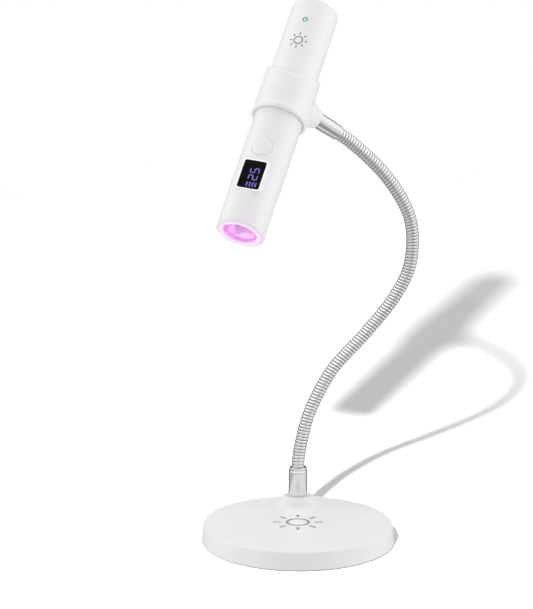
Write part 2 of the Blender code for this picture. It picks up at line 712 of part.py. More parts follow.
def lamp_head():
    fins = [(0.0, -62.4), (10.2, -62.4), (10.2, -61.2), (8.4, -61.2), (8.4, -59.7)]
    fins += [(10.2, -59.7), (10.2, -58.5), (0.0, -58.5)]
    sink = lathe("heat_sink", fins, "aluminium", 32)
    star = disc("emitter_board", 9.8, -64.0, -62.5, "aluminium", 32)
    dome = [(0.0, -64.1), (2.1, -64.1), (2.1, -64.9)] + arc(0.0, -64.9, 1.8, -15, -60, 2)
    led = lathe("emitter", dome + [(0.0, -66.7)], "emitter", 20)
    bowl = [(2.45, -64.2), (10.1, -64.2), (10.1, -72.9), (9.1, -72.9), (8.4, -71.2), (6.9, -69.0)]
    bowl += [(4.4, -66.6), (2.45, -65.0)]
    reflector = lathe("reflector", bowl, "mirror_plating", 36)
    rise = LENS_TOP_Z
    glass = [(0.0, rise), (LENS_R, rise), (LENS_R, rise - 1.2), (LENS_R - 0.5, rise - 1.8), (0.0, rise - 2.2)]
    lens = lathe("lens", glass, "lens_glass", 36)
    outer = TORCH_BORE_R - 0.1
    ring = [(outer, rise), (outer, TORCH_MOUTH_Z + 0.05)]
    ring += arc(MOUTH_OPEN_R + 0.8, TORCH_MOUTH_Z + 0.85, 0.8, 270, 180, 3)
    ring += [(MOUTH_OPEN_R, rise - 2.5), (LENS_SEAT_R, rise - 2.5), (LENS_SEAT_R, rise)]
    bezel = lathe("mouth_ring", ring, "white_shell", 44)
    return sink, star, led, reflector, lens, bezel


def build_holder_and_torch():
    """Both ride empties on the torch's axis, about which it spins and along which it slides."""
    holder = guide("holder_frame", holder_matrix())
    collar(holder)
    upper_ferrule(holder)
    liner(holder)
    torch = guide("torch_frame", holder_matrix() @ turn(TORCH_SPIN, "Z"))
    glass = window_slab("display_window", 0.0, *WINDOW_Y, "window_black")
    carry(torch, barrel(), glass, push_button(), indicator(), cell())
    carry(torch, *charge_port())
    carry(torch, *contacts())
    carry(torch, *electronics())
    carry(torch, *lamp_head())


clear_scene()
build_base()
build_neck()
build_holder_and_torch()
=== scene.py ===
"""Looks of the UV curing lamp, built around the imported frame.

Lengths are millimetres until a mesh is finished, then metres; angles are degrees. The torch's
frame has its origin on the torch's axis at the collar, +Z towards the tail and -Y out of the
window.
"""

import math

import bmesh
import bpy
from mathutils import Matrix, Vector


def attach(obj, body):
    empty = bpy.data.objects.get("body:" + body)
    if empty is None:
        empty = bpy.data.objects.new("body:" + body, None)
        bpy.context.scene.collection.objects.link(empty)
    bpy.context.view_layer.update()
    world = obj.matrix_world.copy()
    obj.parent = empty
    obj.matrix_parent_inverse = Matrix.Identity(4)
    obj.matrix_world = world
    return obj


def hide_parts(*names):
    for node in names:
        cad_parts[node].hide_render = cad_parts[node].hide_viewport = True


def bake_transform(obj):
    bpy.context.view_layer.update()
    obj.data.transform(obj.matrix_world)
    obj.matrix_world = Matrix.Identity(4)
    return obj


MM = 0.001
WORLD_UP = Vector((0.0, 0.0, 1.0))
SHARP = 32.0  # edges sharper than this stay crisp

# Camera
CAMERA_PLACE = (0.0, -904.3, 292.4)
CAMERA_PITCH = 79.3
CAMERA_YAW = 1.0
CAMERA_LENS = 110.4
CAMERA_SENSOR = 36.0
CAMERA_CLIP = (0.05, 100.0)  # metres

# Floor: between the two fade radii it gains a little light of its own, so that its far edge
# runs into the white background
FLOOR_R = 1350.0
FLOOR_FADE_R = (650.0, 1250.0)
FLOOR_FADE = 0.25

# Lights. The even light has one strength above the horizon and one below; the floor key is the
# small lamp that throws the long shadows
WORLD_STRENGTH = 0.69
GROUND_STRENGTH = 1.1
HORIZON_SOFT = 0.04
FLOOR_KEY = 96.0
FLOOR_KEY_SIZE = 20.0
FLOOR_KEY_PLACE = (-170.0, -700.0, 530.0)
# Name, place, target and size in metres, watts
SOFT_LIGHTS = (
    ("overhead_soft", (0.1, 0.5, 1.6), (0.0, 0.0, 0.1), 1.5, 10.6),
    ("left_soft", (-1.3, 0.0, 0.5), (0.0, 0.0, 0.15), 0.9, 5.6),
    ("right_soft", (1.3, 0.05, 0.5), (0.0, 0.0, 0.15), 0.8, 4.8),
)

# What polished metal mirrors: (place from left to right, brightness) at eye level and below it,
# then one brightness behind the lamp and one above it
LEVEL_CARDS = (
    (0.0, 0.42), (0.03, 0.60), (0.115, 0.64), (0.24, 0.56), (0.38, 0.46), (0.65, 0.47),
    (0.68, 0.34), (0.73, 0.36), (0.78, 0.80), (0.97, 0.88), (1.0, 0.66),
)
LOW_CARDS = ((0.0, 0.45), (0.12, 0.6), (0.26, 0.44), (0.72, 0.36), (0.78, 0.75), (1.0, 0.8))
BEHIND_CARD = 0.2
TOP_CARD = 1.15
# Where one card gives way to the next, as parts of a direction of length 1
BEHIND_EDGE = (0.25, 0.75)
LOW_EDGE = (-0.3, -0.55)
TOP_EDGE = 0.16
TOP_EDGE_RISE_BEHIND = 0.4
TOP_EDGE_SOFT = 0.06

# White plastic, and how far up from the mouth the lamp's pink light is painted onto it
SHELL_COLOUR = (0.822, 0.822, 0.829)
PAINTED_PINK_LIGHT_LENGTH = 9.0

# Holder and torch frames
HOLDER_CENTRE = (-6.75, 19.7, 220.4)
HOLDER_TILT = 40.0
HOLDER_YAW = 25.1
TORCH_SPIN = 12.0
SOCKET_AZIMUTH = 54.0

# Base
BASE_R = 48.5
BASE_R_TOP = 47.8
BASE_TOP_Z = 10.0
BASE_SKIRT_Z = 0.8
BASE_ROOF_Z = 8.2
BASE_WALL = 2.0
BASE_EDGE_R = 1.4
BASE_SKIRT_EDGE_R = 0.35
FOOT_R = 46.2
FOOT_T = 1.0
FOOT_EDGE = 0.2
HUB_Y = 33.0
HUB_SKIRT_R = 12.7
HUB_SKIRT_DEPTH = 0.8
HUB_FLARE_R = 3.0
HUB_TOP_R = 6.1
HUB_TOP_Z = 14.6
HUB_CROWN_R = 3.2
STUD_HOLE_R = 3.7
STUD_CLEARANCE = 5.0
# Marks: ring's inner and outer radius, rays' start and end; and how far the ink lies below and
# above the surface
BASE_MARK_R = (4.7, 6.2, 8.4, 12.6)
BASE_MARK_STROKE = 1.5
BASE_MARK_LIFT = (-0.05, 0.02)

# Gooseneck
HOSE_R = 3.33
HOSE_LINKS = 8
HOSE_TURNS = 16
HOSE_SIDES = 32
HOSE_TUCK = 3.2
ROUTE_STEPS = 40
TANGENT_STEP = 0.5
FERRULE_R = 4.9
FERRULE_TOP_Z = 29.7
FERRULE_STUD_Z = 3.6
FERRULE_BORE_R = 3.4
FERRULE_BORE_Z = 23.0
# The upper ferrule is measured outwards from the torch's axis
TOP_FERRULE_SPIGOT_START_R = 15.7
TOP_FERRULE_SPIGOT_R = 3.0
TOP_FERRULE_START_R = 20.05
TOP_FERRULE_END_R = 33.0
TOP_FERRULE_R = 4.05
TOP_FERRULE_BORE_DEPTH = 6.5
NECK_ROUTE = (
    (0.0, 33.0, 29.7),
    (1.9, 33.5, 44.0),
    (6.6, 35.3, 60.0),
    (17.6, 38.8, 80.0),
    (34.7, 43.0, 98.5),
    (48.8, 45.3, 116.0),
    (57.0, 45.5, 133.0),
    (58.0, 43.8, 152.5),
    (52.7, 40.9, 168.0),
    (39.7, 36.5, 185.8),
)
# One turn of the winding: share of the pitch, depth below the crest
TURN_PROFILE = (
    (0.0, 0.58), (0.06, 0.32), (0.12, 0.14), (0.2, 0.04), (0.35, 0.0),
    (0.6, 0.0), (0.78, 0.04), (0.87, 0.14), (0.94, 0.32),
)

# Collar
COLLAR_R = 13.8
COLLAR_LIP_R = 14.2
COLLAR_BORE_R = 12.7
COLLAR_NECK_BORE_R = 12.3
COLLAR_BOTTOM_Z = -12.7
COLLAR_TOP_Z = 18.0
COLLAR_TOP_EDGE = 1.1
COLLAR_DRAWN_TOP_Z = 100.0  # the rim is drawn here, clear of the rest, and scooped() lowers it
COLLAR_SCOOP = 10.0
COLLAR_SCOOP_AZIMUTH = -62.0
LINER_R = (12.06, 12.6)
LINER_TOP_Z = 6.8
SOCKET_ROOT_R = 6.4
SOCKET_TIP_R = 4.8
SOCKET_BACK_R = 12.9
SOCKET_START_R = 14.4
SOCKET_END_R = 20.0
SOCKET_FLARE = 2.2
SOCKET_EDGE = 0.9
SOCKET_FLOOR_R = 15.6
SPIGOT_HOLE_R = 3.2

# Torch
TORCH_R = 12.0
TORCH_BORE_R = 10.4
TORCH_TAIL_Z = 55.5
TORCH_TAIL_EDGE = 2.4
TORCH_MOUTH_Z = -78.3
TORCH_MOUTH_EDGE = 1.0
CUTTER_REACH = (7.0, 15.0)  # from inside the bore to outside the wall
MOUTH_OPEN_R = 8.3
MOUTH_LIP_EDGE = 0.7
LENS_TOP_Z = -73.1
LENS_R = 9.0
LENS_FRONT_INSET = 0.95
REFLECTOR_FACETS = 24
REFLECTOR_PROFILE = (
    (2.45, -64.2), (10.1, -64.2), (10.1, -72.9), (9.1, -72.9),
    (8.4, -71.2), (6.9, -69.0), (4.4, -66.6), (2.45, -65.0),
)
EMITTER_DOME_R = 1.8
EMITTER_DOME_Z = -64.9
EMITTER_FOOT = ((0.0, -64.1), (2.1, -64.1), (2.1, -64.9), (1.8, -64.95))
INDICATOR_Z = 41.0
INDICATOR_R = 1.25
MARK_Z = 28.2
TORCH_MARK_R = (1.75, 2.5, 3.3, 4.7)
TORCH_MARK_STROKE = 0.75
TORCH_MARK_LIFT = (-0.03, 0.012)
BUTTON_Z = -35.3
BUTTON_R = 5.1
BUTTON_FACE_R = 12.5
BUTTON_FLANGE = ((5.1, -8.3), (5.8, -8.3), (5.8, -7.55))
# The cap: radius, depth below its face
BUTTON_SECTION = (
    (0.0, 0.0), (1.2, 0.0), (2.4, 0.0), (3.5, 0.0), (3.82, 0.01), (3.94, 0.04), (4.06, 0.05),
    (4.18, 0.04), (4.3, 0.01), (4.5, 0.02), (4.7, 0.07), (4.88, 0.17), (5.02, 0.34), (5.1, 0.6),
)
WINDOW_Z = (-59.6, -44.0)
WINDOW_W = 10.9
WINDOW_CORNER = 1.0
WINDOW_GAP = 0.12
WINDOW_Y = (10.9, 12.0)
WINDOW_FRAME = 0.75
WINDOW_RIM = 0.55
WINDOW_FRAME_Y = 12.15
WINDOW_MIDDLE_Z = (WINDOW_Z[0] + WINDOW_Z[1]) / 2.0
WINDOW_HEIGHT = WINDOW_Z[1] - WINDOW_Z[0]
# Display figures: (lit segments, place along the window from its middle) for a 5 and a 2
FIGURES = (("afgcd", 2.2), ("abged", -1.6))
FIGURE_U = 0.9
FIGURE_W = 2.4
FIGURE_H = 4.2
FIGURE_STROKE = 0.27
FIGURE_HALO = 0.8
GAUGE_BARS = 4
GAUGE_BAR = (0.42, 2.1)
GAUGE_PITCH = 1.45
GAUGE_SHIFT = 0.35
GAUGE_V = -5.5
PORT_W = 8.9
PORT_H = 3.2
PORT_CORNER = 1.5


# ---- placing and meshes


def shift(x, y, z):
    return Matrix.Translation((x, y, z))


def turn(degrees, axis):
    return Matrix.Rotation(math.radians(degrees), 4, axis)


HOLDER = shift(*HOLDER_CENTRE) @ turn(-HOLDER_YAW, "Z") @ turn(-HOLDER_TILT, "X")
TORCH = HOLDER @ turn(TORCH_SPIN, "Z")
SOCKET = HOLDER @ turn(SOCKET_AZIMUTH, "Z") @ turn(90.0, "Y")
UPRIGHT = Matrix.Identity(4)


def metres(matrix):
    scaled = matrix.copy()
    scaled.translation = matrix.translation * MM
    return scaled


def build(name, bm, mat, place=UPRIGHT, sharp=SHARP):
    """Turns a bmesh and its place, in millimetres, into a smooth-shaded object in metres."""
    bmesh.ops.scale(bm, vec=(MM, MM, MM), verts=bm.verts)
    bmesh.ops.recalc_face_normals(bm, faces=bm.faces)
    mesh = bpy.data.meshes.new(name)
    bm.to_mesh(mesh)
    bm.free()
    obj = bpy.data.objects.new(name, mesh)
    obj.matrix_world = metres(place)
    bpy.context.scene.collection.objects.link(obj)
    if mat:
        mesh.materials.append(mat)
    mesh.shade_smooth()
    mesh.set_sharp_from_angle(angle=math.radians(sharp))
    return obj


def arc(cr, cz, radius, start, end, steps):
    points = []
    for i in range(steps + 1):
        a = math.radians(start + (end - start) * i / steps)
        points.append((cr + radius * math.cos(a), cz + radius * math.sin(a)))
    return points


def rings_of(bm, rings):
    """Makes a vertex ring for each list of points; a list of one point makes a pole."""
    return [[bm.verts.new(p) for p in ring] for ring in rings]


def skin(bm, loops, closed=False):
    """Bridges rings of equal length, and fans where one of the two is a pole."""
    pairs = list(zip(loops, loops[1:]))
    if closed:
        pairs.append((loops[-1], loops[0]))
    for low, high in pairs:
        n = max(len(low), len(high))
        if n == 1:
            continue
        for i in range(n):
            j = (i + 1) % n
            if len(low) == 1:
                bm.faces.new((low[0], high[j], high[i]))
            elif len(high) == 1:
                bm.faces.new((low[i], low[j], high[0]))
            else:
                bm.faces.new((low[i], low[j], high[j], high[i]))


def turned(bm, profile, segments, reshape=None):
    """A closed outline of (r, z) turned about Z; reshape may move each point by its angle."""
    rings = []
    for r, z in profile:
        if r <= 0.0:
            rings.append([Vector((0.0, 0.0, z))])
            continue
        ring = []
        for i in range(segments):
            a = 2.0 * math.pi * i / segments
            rr, zz = reshape(r, z, a) if reshape else (r, z)
            ring.append(Vector((rr * math.cos(a), rr * math.sin(a), zz)))
        rings.append(ring)
    skin(bm, rings_of(bm, rings), closed=profile[0][0] > 0.0)


def lathe(name, profile, mat, place=UPRIGHT, segments=128, sharp=SHARP):
    bm = bmesh.new()
    turned(bm, profile, segments)
    return build(name, bm, mat, place, sharp)


def slab(bm, low, high):
    """A closed plate between two outlines of 3-D points."""
    low = [bm.verts.new(p) for p in low]
    high = [bm.verts.new(p) for p in high]
    bm.faces.new(low)
    bm.faces.new(high)
    skin(bm, [low, high])


def flat_plate(bm, outline, z0, z1):
    slab(bm, [(x, y, z0) for x, y in outline], [(x, y, z1) for x, y in outline])


def cutter(name, outline, z0, z1, place=UPRIGHT):
    bm = bmesh.new()
    flat_plate(bm, outline, z0, z1)
    return build(name, bm, None, place)


def rounded_rect(width, height, corner, steps):
    points = []
    corners = ((1, 1, 0), (-1, 1, 90), (-1, -1, 180), (1, -1, 270))
    for cx, cy, start in corners:
        x = cx * (width / 2 - corner)
        y = cy * (height / 2 - corner)
        for i in range(steps + 1):
            a = math.radians(start + 90.0 * i / steps)
            points.append((x + corner * math.cos(a), y + corner * math.sin(a)))
    return points


def cut(obj, tools):
    """Takes the tools out of the object with exact Booleans, and removes them."""
    for tool in tools:
        mod = obj.modifiers.new("cut", "BOOLEAN")
        mod.operation = "DIFFERENCE"
        mod.solver = "EXACT"
        mod.object = tool
    bpy.context.view_layer.update()
    graph = bpy.context.evaluated_depsgraph_get()
    mesh = bpy.data.meshes.new_from_object(obj.evaluated_get(graph))
    obj.modifiers.clear()
    obj.data = mesh
    for tool in tools:
        bpy.data.objects.remove(tool, do_unlink=True)
    mesh.shade_smooth()
    mesh.set_sharp_from_angle(angle=math.radians(SHARP))


def polish(obj, radius):
    """Gives the faces on a cylinder about Z the cylinder's own normals.

    Without it the cuts would show as dents.
    """
    mesh = obj.data
    normals = [Vector(n.vector) for n in mesh.corner_normals]
    for face in mesh.polygons:
        if abs(face.normal.z) > 0.05:
            continue
        for index in face.loop_indices:
            co = mesh.vertices[mesh.loops[index].vertex_index].co
            r = math.hypot(co.x, co.y)
            out = Vector((co.x / r, co.y / r, 0.0)) if r else Vector()
            if abs(r - radius * MM) < 0.02 * MM and face.normal.dot(out) > 0.98:
                normals[index] = out
    mesh.normals_split_custom_set(normals)


def on_barrel(u, v, r):
    """The point at u across and v along the torch's front, wrapped on a cylinder of radius r."""
    a = u / TORCH_R
    return Vector((r * math.sin(a), -r * math.cos(a), v))


def wrapped_plate(bm, outline, r0, r1):
    """A thin closed plate with the outline's shape that follows the barrel."""
    slab(bm, [on_barrel(u, v, r0) for u, v in outline], [on_barrel(u, v, r1) for u, v in outline])


def sun_outlines(radii, stroke):
    """A plain ring with eight short rays, as outlines of four corners each."""
    inner, outer, ray_start, ray_end = radii
    shapes = []
    steps = 48
    for i in range(steps):
        a0 = 2.0 * math.pi * i / steps
        a1 = 2.0 * math.pi * (i + 1) / steps
        shapes.append([(r * math.cos(a), r * math.sin(a)) for r, a in
                       ((inner, a0), (outer, a0), (outer, a1), (inner, a1))])
    for i in range(8):
        a = math.pi / 4.0 * i
        along = Vector((math.cos(a), math.sin(a)))
        side = Vector((-along.y, along.x)) * stroke / 2.0
        for k in range(3):
            p = along * (ray_start + (ray_end - ray_start) * k / 3.0)
            q = along * (ray_start + (ray_end - ray_start) * (k + 1) / 3.0)
            shapes.append([tuple(p + side), tuple(p - side), tuple(q - side), tuple(q + side)])
    return shapes


# ---- materials


class Tree:
    """A short hand for building a node tree."""

    def __init__(self, tree):
        self.tree = tree

    def node(self, kind):
        return self.tree.nodes.new("ShaderNode" + kind)

    def link(self, a, b):
        self.tree.links.new(a, b)

    def ramp(self, value, stops):
        node = self.node("ValToRGB")
        elements = node.color_ramp.elements
        while len(elements) < len(stops):
            elements.new(0.5)
        for element, (at, colour) in zip(elements, stops):
            element.position = at
            element.color = (*colour, 1.0)
        self.link(value, node.inputs["Fac"])
        return node.outputs["Color"]

    def span(self, value, low, high, to_low=0.0, to_high=1.0, soft=False):
        node = self.node("MapRange")
        if soft:
            node.interpolation_type = "SMOOTHSTEP"
        keys = ("From Min", "From Max", "To Min", "To Max")
        for key, number in zip(keys, (low, high, to_low, to_high)):
            node.inputs[key].default_value = number
        self.link(value, node.inputs["Value"])
        return node.outputs["Result"]

    def maths(self, operation, a, b):
        node = self.node("Math")
        node.operation = operation
        for socket, value in zip(node.inputs, (a, b)):
            if isinstance(value, (int, float)):
                socket.default_value = value
            else:
                self.link(value, socket)
        return node.outputs["Value"]

    def mix(self, a, b, share):
        kept = self.maths("MULTIPLY", a, self.maths("SUBTRACT", 1.0, share))
        return self.maths("ADD", kept, self.maths("MULTIPLY", b, share))


class Nodes(Tree):
    """One material: its tree, its shader and the object's own coordinates."""

    def __init__(self, name):
        self.mat = bpy.data.materials.new(name)
        self.mat.use_nodes = True
        super().__init__(self.mat.node_tree)
        self.shader = self.tree.nodes["Principled BSDF"]
        self.coords = self.node("TexCoord").outputs["Object"]

    def noise(self, scale, detail=3.0, roughness=0.5, stretch=(1.0, 1.0, 1.0)):
        mapping = self.node("Mapping")
        mapping.inputs["Scale"].default_value = stretch
        node = self.node("TexNoise")
        node.inputs["Scale"].default_value = scale
        node.inputs["Detail"].default_value = detail
        node.inputs["Roughness"].default_value = roughness
        self.link(self.coords, mapping.inputs["Vector"])
        self.link(mapping.outputs["Vector"], node.inputs["Vector"])
        return node.outputs["Fac"]

    def axis(self, name):
        node = self.node("SeparateXYZ")
        self.link(self.coords, node.inputs["Vector"])
        return node.outputs[name]

    def bump(self, height, strength, distance):
        node = self.node("Bump")
        node.inputs["Strength"].default_value = strength
        node.inputs["Distance"].default_value = distance
        self.link(height, node.inputs["Height"])
        self.link(node.outputs["Normal"], self.shader.inputs["Normal"])

    def set(self, **values):
        for key, value in values.items():
            socket = self.shader.inputs[key.replace("_", " ")]
            socket.default_value = (*value, 1.0) if isinstance(value, tuple) else value

    def to(self, socket, value):
        self.link(value, self.shader.inputs[socket])


def tint(colour, factor):
    return tuple(min(1.0, c * factor) for c in colour)


def moulded_skin(n, roughness, grain=0.00003, texture=2600.0):
    """The surface of injection-moulded plastic: spark-eroded grain and faint clouds of gloss."""
    handled = n.noise(170.0, 5.0, 0.6)
    n.to("Roughness", n.span(handled, 0.25, 0.75, roughness - 0.05, roughness + 0.07))
    n.bump(n.noise(texture, 2.0, 0.6), 0.35, grain)
    n.set(Specular_IOR_Level=0.45)


def moulded(name, colour, roughness, cloud=0.012, **skin_values):
    """Moulded plastic with faint clouds of colour."""
    n = Nodes(name)
    clouds = n.noise(55.0, 4.0)
    stops = [(0.3, tint(colour, 1.0 - cloud)), (0.7, tint(colour, 1.0 + cloud))]
    n.to("Base Color", n.ramp(clouds, stops))
    moulded_skin(n, roughness, **skin_values)
    return n.mat


def torch_plastic():
    """White shell plastic, with the lamp's faint pink light painted into its colour near the
    mouth.
    """
    n = Nodes("shell_white")
    moulded_skin(n, 0.36)
    mouth = TORCH_MOUTH_Z * MM
    glow = n.span(n.axis("Z"), mouth, (TORCH_MOUTH_Z + PAINTED_PINK_LIGHT_LENGTH) * MM, 1.0, 0.0)
    glow = n.maths("POWER", glow, 2.5)
    glow = n.maths("ADD", glow, n.span(n.noise(55.0, 4.0), 0.3, 0.7, -0.02, 0.02))
    n.to("Base Color", n.ramp(glow, [(0.0, SHELL_COLOUR), (1.0, (0.83, 0.76, 0.83))]))
    return n.mat


def lip_plastic():
    """The lip around the lamp, with painted glow all over: white at its outer edge, and painted
    pink with the lamp's light towards the opening.
    """
    n = Nodes("lip_painted_pink_glow")
    squares = [n.maths("POWER", n.axis(name), 2.0) for name in "XY"]
    radius = n.maths("POWER", n.maths("ADD", *squares), 0.5)
    glow = n.span(radius, TORCH_BORE_R * MM, MOUTH_OPEN_R * MM, 0.0, 1.0)
    glow = n.maths("ADD", glow, n.span(n.noise(420.0, 3.0), 0.3, 0.7, -0.06, 0.06))
    n.to("Base Color", n.ramp(glow, [(0.0, (0.82, 0.76, 0.82)), (1.0, (0.78, 0.58, 0.78))]))
    n.to("Emission Color", n.ramp(glow, [(0.1, (0.22, 0.17, 0.22)), (1.0, (0.46, 0.18, 0.47))]))
    n.set(Emission_Strength=0.8)
    n.to("Roughness", n.span(n.noise(170.0, 5.0, 0.6), 0.25, 0.75, 0.3, 0.42))
    return n.mat


def chrome(name, colour=(0.79, 0.79, 0.80), roughness=0.07, brushed=False):
    """Bright plating with hairline polishing marks and a little haze."""
    n = Nodes(name)
    n.set(Metallic=1.0)
    haze = n.noise(140.0, 4.0)
    n.to("Base Color", n.ramp(haze, [(0.25, tint(colour, 0.94)), (0.75, colour)]))
    hair = n.noise(900.0, 3.0, 0.7, stretch=(1.0, 1.0, 0.06) if brushed else (1.0, 1.0, 1.0))
    n.to("Roughness", n.span(hair, 0.2, 0.8, roughness, roughness + 0.12))
    n.bump(hair, 0.12, 0.00001)
    return n.mat


def black_glass():
    n = Nodes("display_glass")
    smear = n.noise(120.0, 5.0, 0.6, stretch=(1.0, 1.0, 0.35))
    stops = [(0.2, (0.0015, 0.0015, 0.003)), (0.8, (0.004, 0.004, 0.006))]
    n.to("Base Color", n.ramp(smear, stops))
    n.to("Roughness", n.span(smear, 0.2, 0.8, 0.06, 0.18))
    n.set(Specular_IOR_Level=0.06)
    n.bump(n.noise(300.0, 2.0), 0.05, 0.00001)
    return n.mat


def winding_metal():
    """Bright wire, with painted shade that darkens its colour where the turns meet."""
    n = Nodes("winding_plate")
    n.set(Metallic=1.0)
    node = n.node("Attribute")
    node.attribute_name = "groove"
    shade_jitter = n.span(n.noise(700.0, 3.0), 0.3, 0.7, -0.08, 0.08)
    depth = n.maths("ADD", node.outputs["Fac"], shade_jitter)
    stops = [(0.0, (0.90, 0.90, 0.91)), (0.35, (0.72, 0.72, 0.74)), (0.85, (0.12, 0.12, 0.125))]
    n.to("Base Color", n.ramp(depth, stops))
    n.to("Roughness", n.span(depth, 0.0, 0.8, 0.12, 0.35))
    n.bump(n.noise(900.0, 3.0, 0.7), 0.1, 0.00001)
    return n.mat


def lit(name, colour, glow, strength, roughness=0.3, low=0.75):
    """A lit part whose brightness drifts a little over its surface; some are lamps, and on the
    bezel and the halo the glow is painted.
    """
    n = Nodes(name)
    drift = n.noise(420.0, 3.0)
    n.to("Base Color", n.ramp(drift, [(0.3, tint(colour, 0.9)), (0.7, colour)]))
    n.to("Emission Color", n.ramp(drift, [(0.25, tint(glow, low)), (0.75, glow)]))
    n.set(Emission_Strength=strength)
    n.to("Roughness", n.span(drift, 0.2, 0.8, roughness, roughness + 0.1))
    return n.mat


def reflector_metal():
    """Vacuum-plated plastic, with the lamp's pink light painted on in its middle as tint and glow.
    """
    n = Nodes("reflector_painted_pink_light")
    n.set(Metallic=1.0)
    ripple = n.noise(260.0, 3.0)
    n.to("Base Color", n.ramp(ripple, [(0.3, (0.80, 0.56, 0.82)), (0.7, (0.95, 0.74, 0.97))]))
    n.to("Roughness", n.span(ripple, 0.2, 0.8, 0.10, 0.22))
    n.to("Emission Color", n.ramp(ripple, [(0.3, (0.80, 0.20, 0.80)), (0.7, (1.0, 0.34, 0.98))]))
    n.set(Emission_Strength=0.34)
    return n.mat


def lens_glass():
    n = Nodes("lens_clear")
    haze = n.noise(240.0, 3.0)
    n.to("Roughness", n.span(haze, 0.2, 0.8, 0.0, 0.05))
    n.set(Base_Color=(1.0, 0.94, 1.0), Transmission_Weight=1.0, IOR=1.3)
    return n.mat


def printed():
    """Grey pad-printed ink, slightly broken up where it has rubbed."""
    n = Nodes("mark_ink")
    worn = n.noise(1500.0, 4.0, 0.7)
    n.to("Base Color", n.ramp(worn, [(0.25, (0.36, 0.36, 0.37)), (0.6, (0.27, 0.27, 0.28))]))
    n.to("Roughness", n.span(worn, 0.2, 0.8, 0.4, 0.6))
    n.bump(worn, 0.2, 0.00001)
    return n.mat


def rubber(name, colour, scale=1800.0):
    n = Nodes(name)
    pores = n.noise(scale, 4.0, 0.7)
    n.to("Base Color", n.ramp(pores, [(0.3, tint(colour, 0.8)), (0.7, tint(colour, 1.15))]))
    n.to("Roughness", n.span(pores, 0.2, 0.8, 0.65, 0.9))
    n.bump(pores, 0.5, 0.00006)
    return n.mat


def circuit_board():
    """Green solder mask with a faint pattern of tracks."""
    n = Nodes("circuit_green")
    tracks = n.noise(500.0, 1.0, 0.2, stretch=(1.0, 0.2, 1.0))
    n.to("Base Color", n.ramp(tracks, [(0.45, (0.015, 0.16, 0.06)), (0.55, (0.03, 0.26, 0.11))]))
    n.to("Roughness", n.span(tracks, 0.3, 0.7, 0.3, 0.5))
    n.bump(tracks, 0.3, 0.00003)
    return n.mat


def finishes():
    """The materials, most of them by the record's slot names."""
    return {
        "white_shell": torch_plastic(),
        "white_collar": moulded("collar_white", (0.82, 0.82, 0.826), 0.38),
        "white_base": moulded("base_white", (0.81, 0.81, 0.815), 0.4, grain=4e-5, texture=2200.0),
        "button_white": moulded("button_satin", (0.83, 0.83, 0.84), 0.3),
        "inner_plastic": moulded("inner_grey", (0.07, 0.07, 0.075), 0.5, cloud=0.06),
        "chrome": chrome("chrome_plate"),
        "plated_steel": chrome("zinc_plate", (0.62, 0.62, 0.64), 0.28),
        "raw_steel": chrome("raw_steel_skin", (0.36, 0.36, 0.38), 0.45),
        "aluminium": chrome("turned_aluminium", (0.72, 0.73, 0.75), 0.32, brushed=True),
        "brass": chrome("brass_skin", (0.78, 0.6, 0.28), 0.25),
        "grip_rubber": rubber("liner_rubber", (0.78, 0.78, 0.79)),
        "pad_foam": rubber("foot_foam", (0.05, 0.05, 0.055), 1400.0),
        "cell_wrap": moulded("cell_sleeve", (0.10, 0.27, 0.50), 0.3, cloud=0.05),
        "board": circuit_board(),
        "window_black": black_glass(),
        "display_black": moulded("display_body", (0.012, 0.01, 0.03), 0.4, cloud=0.1),
        "mirror_plating": reflector_metal(),
        "lens_glass": lens_glass(),
        "emitter": lit("emitter_glow", (0.9, 0.6, 0.95), (1.0, 0.46, 1.0), 2.2),
        "light_pipe": lit("indicator_lit", (0.35, 0.85, 0.6), (0.42, 0.92, 0.66), 0.75, 0.2),
        # These have no slot in the record: they are only in the picture
        "ink": printed(),
        "winding": winding_metal(),
        # the bezel's glow is a painted highlight along the window's rim
        "bezel": lit("bezel_painted_highlight", (0.93, 0.93, 0.94), (0.9, 0.9, 0.92), 0.26, 0.25, 0.9),
        "figures": lit("figure_glow", (0.06, 0.05, 0.2), (0.40, 0.33, 0.92), 0.9, 0.3, 0.2),
        # the halo's glow is painted, a soft light around the lit figures
        "halo": lit("figure_painted_halo", (0.01, 0.005, 0.03), (0.022, 0.008, 0.20), 1.0, 0.2, 0.6),
        "green_ring": lit("indicator_green", (0.03, 0.28, 0.16), (0.03, 0.24, 0.13), 0.4, 0.15),
        # the lip's pink colour and glow are the lamp's light, painted on
        "lip": lip_plastic(),
    }


# ---- base


